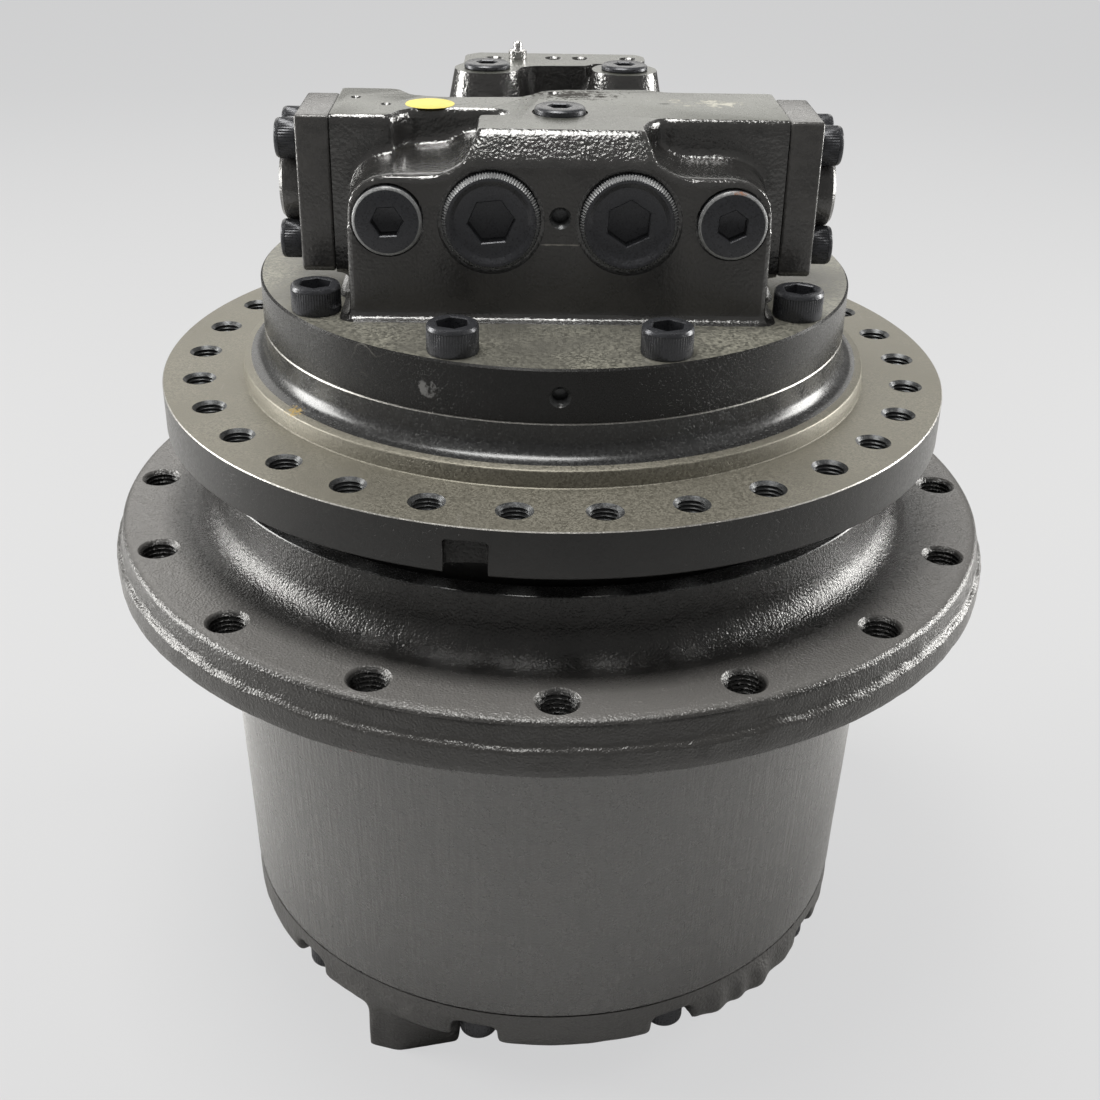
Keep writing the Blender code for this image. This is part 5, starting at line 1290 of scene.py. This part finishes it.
def rear_blocks():
    side, back = 0.0622, 0.1128
    low = prism(
        [(-side, -0.004), (side, -0.004), (side, back - 0.016), (side - 0.016, back),
         (-side + 0.016, back), (-side, back - 0.016)],
        0.405, 0.4668,
    )
    pad = [
        (-50.5, 68), (-20, 69), (-12, 74), (4, 75), (17, 76), (21, 83), (46, 87), (50.5, 93),
        (50.5, 106), (45, 113), (-42, 113), (-50.5, 104),
    ]
    pad = prism(in_metres(pad), 0.460, 0.509)
    bosses = [bar((x, BOSS_Y, 0.460), 0.0265, 0.049, top=0.0168, sides=64) for x in (-BOSS_X, BOSS_X)]
    return [low, pad] + bosses


foot_slab = bar((0, 0, 0.4050), 0.1500, DISC_TOP_Z - 0.4050, sides=200)
neck_block = block((-0.1035, -0.0560, 0.4050), (0.1035, 0.0080, 0.4300))
block_cast = cast(
    gathered([shoulder_block(), arms_block(), bulge_block(), neck_block, foot_slab] + rear_blocks()),
    0.00155, 9,
)
print("cast valve block:", len(block_cast.faces), "faces")

# %% [markdown]
# The rough casting is now milled: its top, its foot, the two arm ends and the rear face.
# Then the counterbores, the bores for the plugs, the ports and the spool's bore are cut.

# %% Valve block: machining
ARM_END = 0.1090
REAR_FACE = 0.1120
SMALL_PORT_Z = 0.466
MAIN_PORT_X, MAIN_PORT_Z = 0.024, 0.460
FACING_BACK = turned(-90, "X")
mills = [
    block((-0.3, -0.3, BLOCK_TOP_Z), (0.3, 0.3, 0.6)),
    block((-0.3, -0.3, 0.3), (0.3, 0.3, DISC_TOP_Z + 0.00008)),
    block((ARM_END, -0.3, 0.4), (0.3, 0.3, 0.6)),
    block((-0.3, -0.3, 0.4), (-ARM_END, 0.3, 0.6)),
    block((-0.3, REAR_FACE, 0.4), (0.3, 0.3, 0.6)),
]


def front_bars(reach, radius, depth, sides):
    """Two round bars into the front face, one on each side of the middle."""
    return [
        bar((x, FACE_Y + depth, PORT_HEIGHT), radius, depth + 0.006, FACING_FRONT, sides)
        for x in (-reach, reach)
    ]


counterbores = gathered(
    front_bars(RELIEF_X, 0.0250, 0.0030, 96) + front_bars(CHECK_X, 0.0173, 0.0030, 80)
    + [bar((*TOP_PORT, 0.5010), 0.01345, 0.012, sides=64)]
)
plug_bores = gathered(
    front_bars(RELIEF_X, 0.0172, 0.0190, 48) + front_bars(CHECK_X, 0.0117, 0.0170, 40)
    + [bar((*TOP_PORT, 0.486), 0.0090, 0.030, sides=32)]
    + [bar((x, BOSS_Y, 0.489), 0.0090, 0.030, sides=32) for x in (-BOSS_X, BOSS_X)]
)
ports = [
    thread_cutter((x, REAR_FACE, MAIN_PORT_Z), 0.027, 0.002, -0.022, 0.0, 0.0012, FACING_BACK, 48)
    for x in (-MAIN_PORT_X, MAIN_PORT_X)
]
small_holes = [
    thread_cutter((0, FACE_Y, SMALL_PORT_Z), 0.009, 0.00125, -0.005, 0.0, 0.0008, FACING_FRONT, 24)
]
small_holes += [
    thread_cutter((x, y, BLOCK_TOP_Z), size, 0.00125, -0.010, 0.0, 0.0005, None, 20)
    for x, y, size in (
        (-0.034, 0.096, 0.0095), (-0.001, 0.098, 0.0095), (0.014, 0.098, 0.0095),
        (0.041, 0.098, 0.0095), (-0.1004, -0.0153, 0.0050), (-0.0842, -0.0305, 0.0050),
        (-0.0023, 0.0018, 0.0060),
    )
]
spool_low, spool_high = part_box("counterbalance_spool")
spool_radius = (spool_high[2] - spool_low[2]) / 2
spool_way = bar(
    (-0.115, (spool_low[1] + spool_high[1]) / 2, (spool_low[2] + spool_high[2]) / 2),
    spool_radius + 0.0004, 0.230, turned(90, "Y"),
)
print("spool radius", round(spool_radius, 5))
block_cast = cut(
    block_cast, *mills, counterbores, plug_bores, gathered(ports), gathered(small_holes), spool_way
)
paint_faces(block_cast, 0)
paint_faces(block_cast, 1, lambda c, n: c.y < FACE_Y + 0.0003 and n.y < -0.97 and c.z > 0.42)
paint_faces(block_cast, 2, lambda c, n: c.z > BLOCK_TOP_Z - 0.0001 and n.z > 0.99)
paint_faces(
    block_cast, 3,
    lambda c, n: near(c.x, c.z - SMALL_PORT_Z, 0.0048) and 0.0002 < c.y - FACE_Y < 0.0080,
)
paint_faces(
    block_cast, 3,
    lambda c, n: near(abs(c.x) - MAIN_PORT_X, c.z - MAIN_PORT_Z, 0.0134) and 0.09 < c.y < 0.1119,
)
finish_piece(
    "block_casting", block_cast, [BLOCK_PAINT, BLOCK_FACE_LIGHTENED_PAINT, BLOCK_TOP, THREAD_STEEL],
    "spindle", ["valve_block"], 24.0,
)

# %% [markdown]
# ## Side covers
# A plate at each end closes the spool's bore. It carries a round cap over the spring and
# four screws. The same function makes both, turned to their own side.

# %% Side covers
COVER_FACE = 0.1257
SPOOL_Y = -0.030


def side_cover(side):
    outline = [(-0.0565, 0.4303), (-0.0540, 0.4276), (-0.0060, 0.4276), (-0.0035, 0.4303),
               (-0.0035, 0.5037), (-0.0565, 0.5037)]
    plate = along_x(outline, ARM_END + 0.0003, COVER_FACE)
    soften(plate, plate.edges[:], 0.0016, 4)
    cap = spun(
        [
            (0.0, 0.0110), (0.0090, 0.0110), (0.0160, 0.0104), (0.0178, 0.0088), (0.0185, 0.0066),
            (0.0187, -0.0010), (0.0, -0.0010),
        ],
        72,
    )
    outward = turned(90, "Y")
    moved(cap, (COVER_FACE, SPOOL_Y, PORT_HEIGHT + 0.0015), outward)
    whole = gathered([plate, cap])
    screws = copies(
        socket_screw(0.0095, 0.0108, 0.010, steps=88),
        [
            Matrix.Translation((COVER_FACE, SPOOL_Y + y, 0.4654 + z)) @ outward
            @ Matrix.Rotation(y * 90 + z, 4, "Z")
            for y in (-0.013, 0.013)
            for z in (-0.0246, 0.0246)
        ],
    )
    if side < 0:
        mirror = Matrix.Scale(-1, 4, (1, 0, 0))
        for bm in (whole, screws):
            moved(bm, turn=mirror)
            bmesh.ops.reverse_faces(bm, faces=bm.faces)
    return whole, screws


for name, side in (("left", -1), ("right", 1)):
    plate, screws = side_cover(side)
    finish_piece(
        f"side_cover_{name}_fine", plate, [SIDE_COVER_PAINT], "spindle", [f"side_cover_{name}"],
    )
    finish_piece(f"side_cover_{name}_screws", screws, [BLACK_OXIDE], "spindle")

# %% [markdown]
# ## Small things on top
# A bleed nipple stands on the rear pad, and a yellow dot of paint marks a checked block.

# %% Nipple and dot
nipple = spun(
    [
        (0.0, 0.0090), (0.0015, 0.0090), (0.0022, 0.0084), (0.0026, 0.0068), (0.0022, 0.0058),
        (0.0024, 0.0048), (0.0046, 0.0044), (0.0050, 0.0038), (0.0050, 0.0003), (0.0034, 0.0002),
        (0.0034, -0.0080), (0.0, -0.0080),
    ],
    36,
)
moved(nipple, (-0.021, 0.097, BLOCK_TOP_Z))
finish_piece("bleed_nipple", nipple, [BEARING_STEEL], "spindle", ["bleed_fitting"])
dot = spun([(0.0, 0.00022), (0.0118, 0.00022), (0.0120, 0.00012), (0.0120, 0.00002), (0.0, 0.00002)], 64)
moved(dot, (-0.063, -0.0285, BLOCK_TOP_Z))
finish_piece("yellow_dot", dot, [YELLOW], "spindle")

# %% [markdown]
# ## Brake springs
# Two coil springs press on the brake piston. Oil lifts the piston by 2 mm against them, so
# the coils give way on the drive; here each coil is made in one shape.

# %% Brake springs
COIL_RADIUS = 0.0058
COIL_WIRE = 0.0012
COIL_TURNS = 4
COIL_REACH = 0.0072  # from the axis of the skeleton's coil to the right end of its box

for node in ("brake_spring_1", "brake_spring_2"):
    low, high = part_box(node)
    centre_x = high[0] - COIL_REACH
    height = high[2] - low[2]
    coil = bmesh.new()
    bmesh.ops.create_circle(
        coil, cap_ends=False, segments=12, radius=COIL_WIRE,
        matrix=Matrix.Translation((COIL_RADIUS, 0, 0)) @ turned(90, "X"),
    )
    steps = 28 * COIL_TURNS
    bmesh.ops.spin(
        coil, geom=coil.verts[:] + coil.edges[:], cent=(0, 0, 0), axis=(0, 0, 1),
        dvec=(0, 0, (height - 2 * COIL_WIRE) / steps), angle=2 * math.pi * COIL_TURNS, steps=steps,
    )
    bmesh.ops.holes_fill(coil, edges=[edge for edge in coil.edges if edge.is_boundary])
    bmesh.ops.recalc_face_normals(coil, faces=coil.faces[:])
    moved(coil, (centre_x, 0, low[2] + COIL_WIRE))
    spring = finish_piece(f"{node}_coil", coil, [GROUND_STEEL], "spindle", [node])
    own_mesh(spring)

# %% [markdown]
# ## Finishes for what stays inside
# The other inner pieces keep the skeleton's shapes. Ground steel, bearing steel and bronze
# tell them apart once the drive is opened. A new material goes into each slot they have.

# %% Inner pieces
INNER_FINISH = {
    "main_bearing": BEARING_STEEL,
    "shaft_bearing": BEARING_STEEL,
    "seal_ring": BEARING_STEEL,
    "brake_friction": BRONZE,
    "valve_plate": BRONZE,
    "planet_holder": COVER_PAINT,
}
for node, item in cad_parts.items():
    chosen = [finish for start, finish in INNER_FINISH.items() if node.startswith(start)]
    for place in item.material_slots:
        place.material = chosen[0] if chosen else GROUND_STEEL
print("skeleton nodes with a finish:", len(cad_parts))
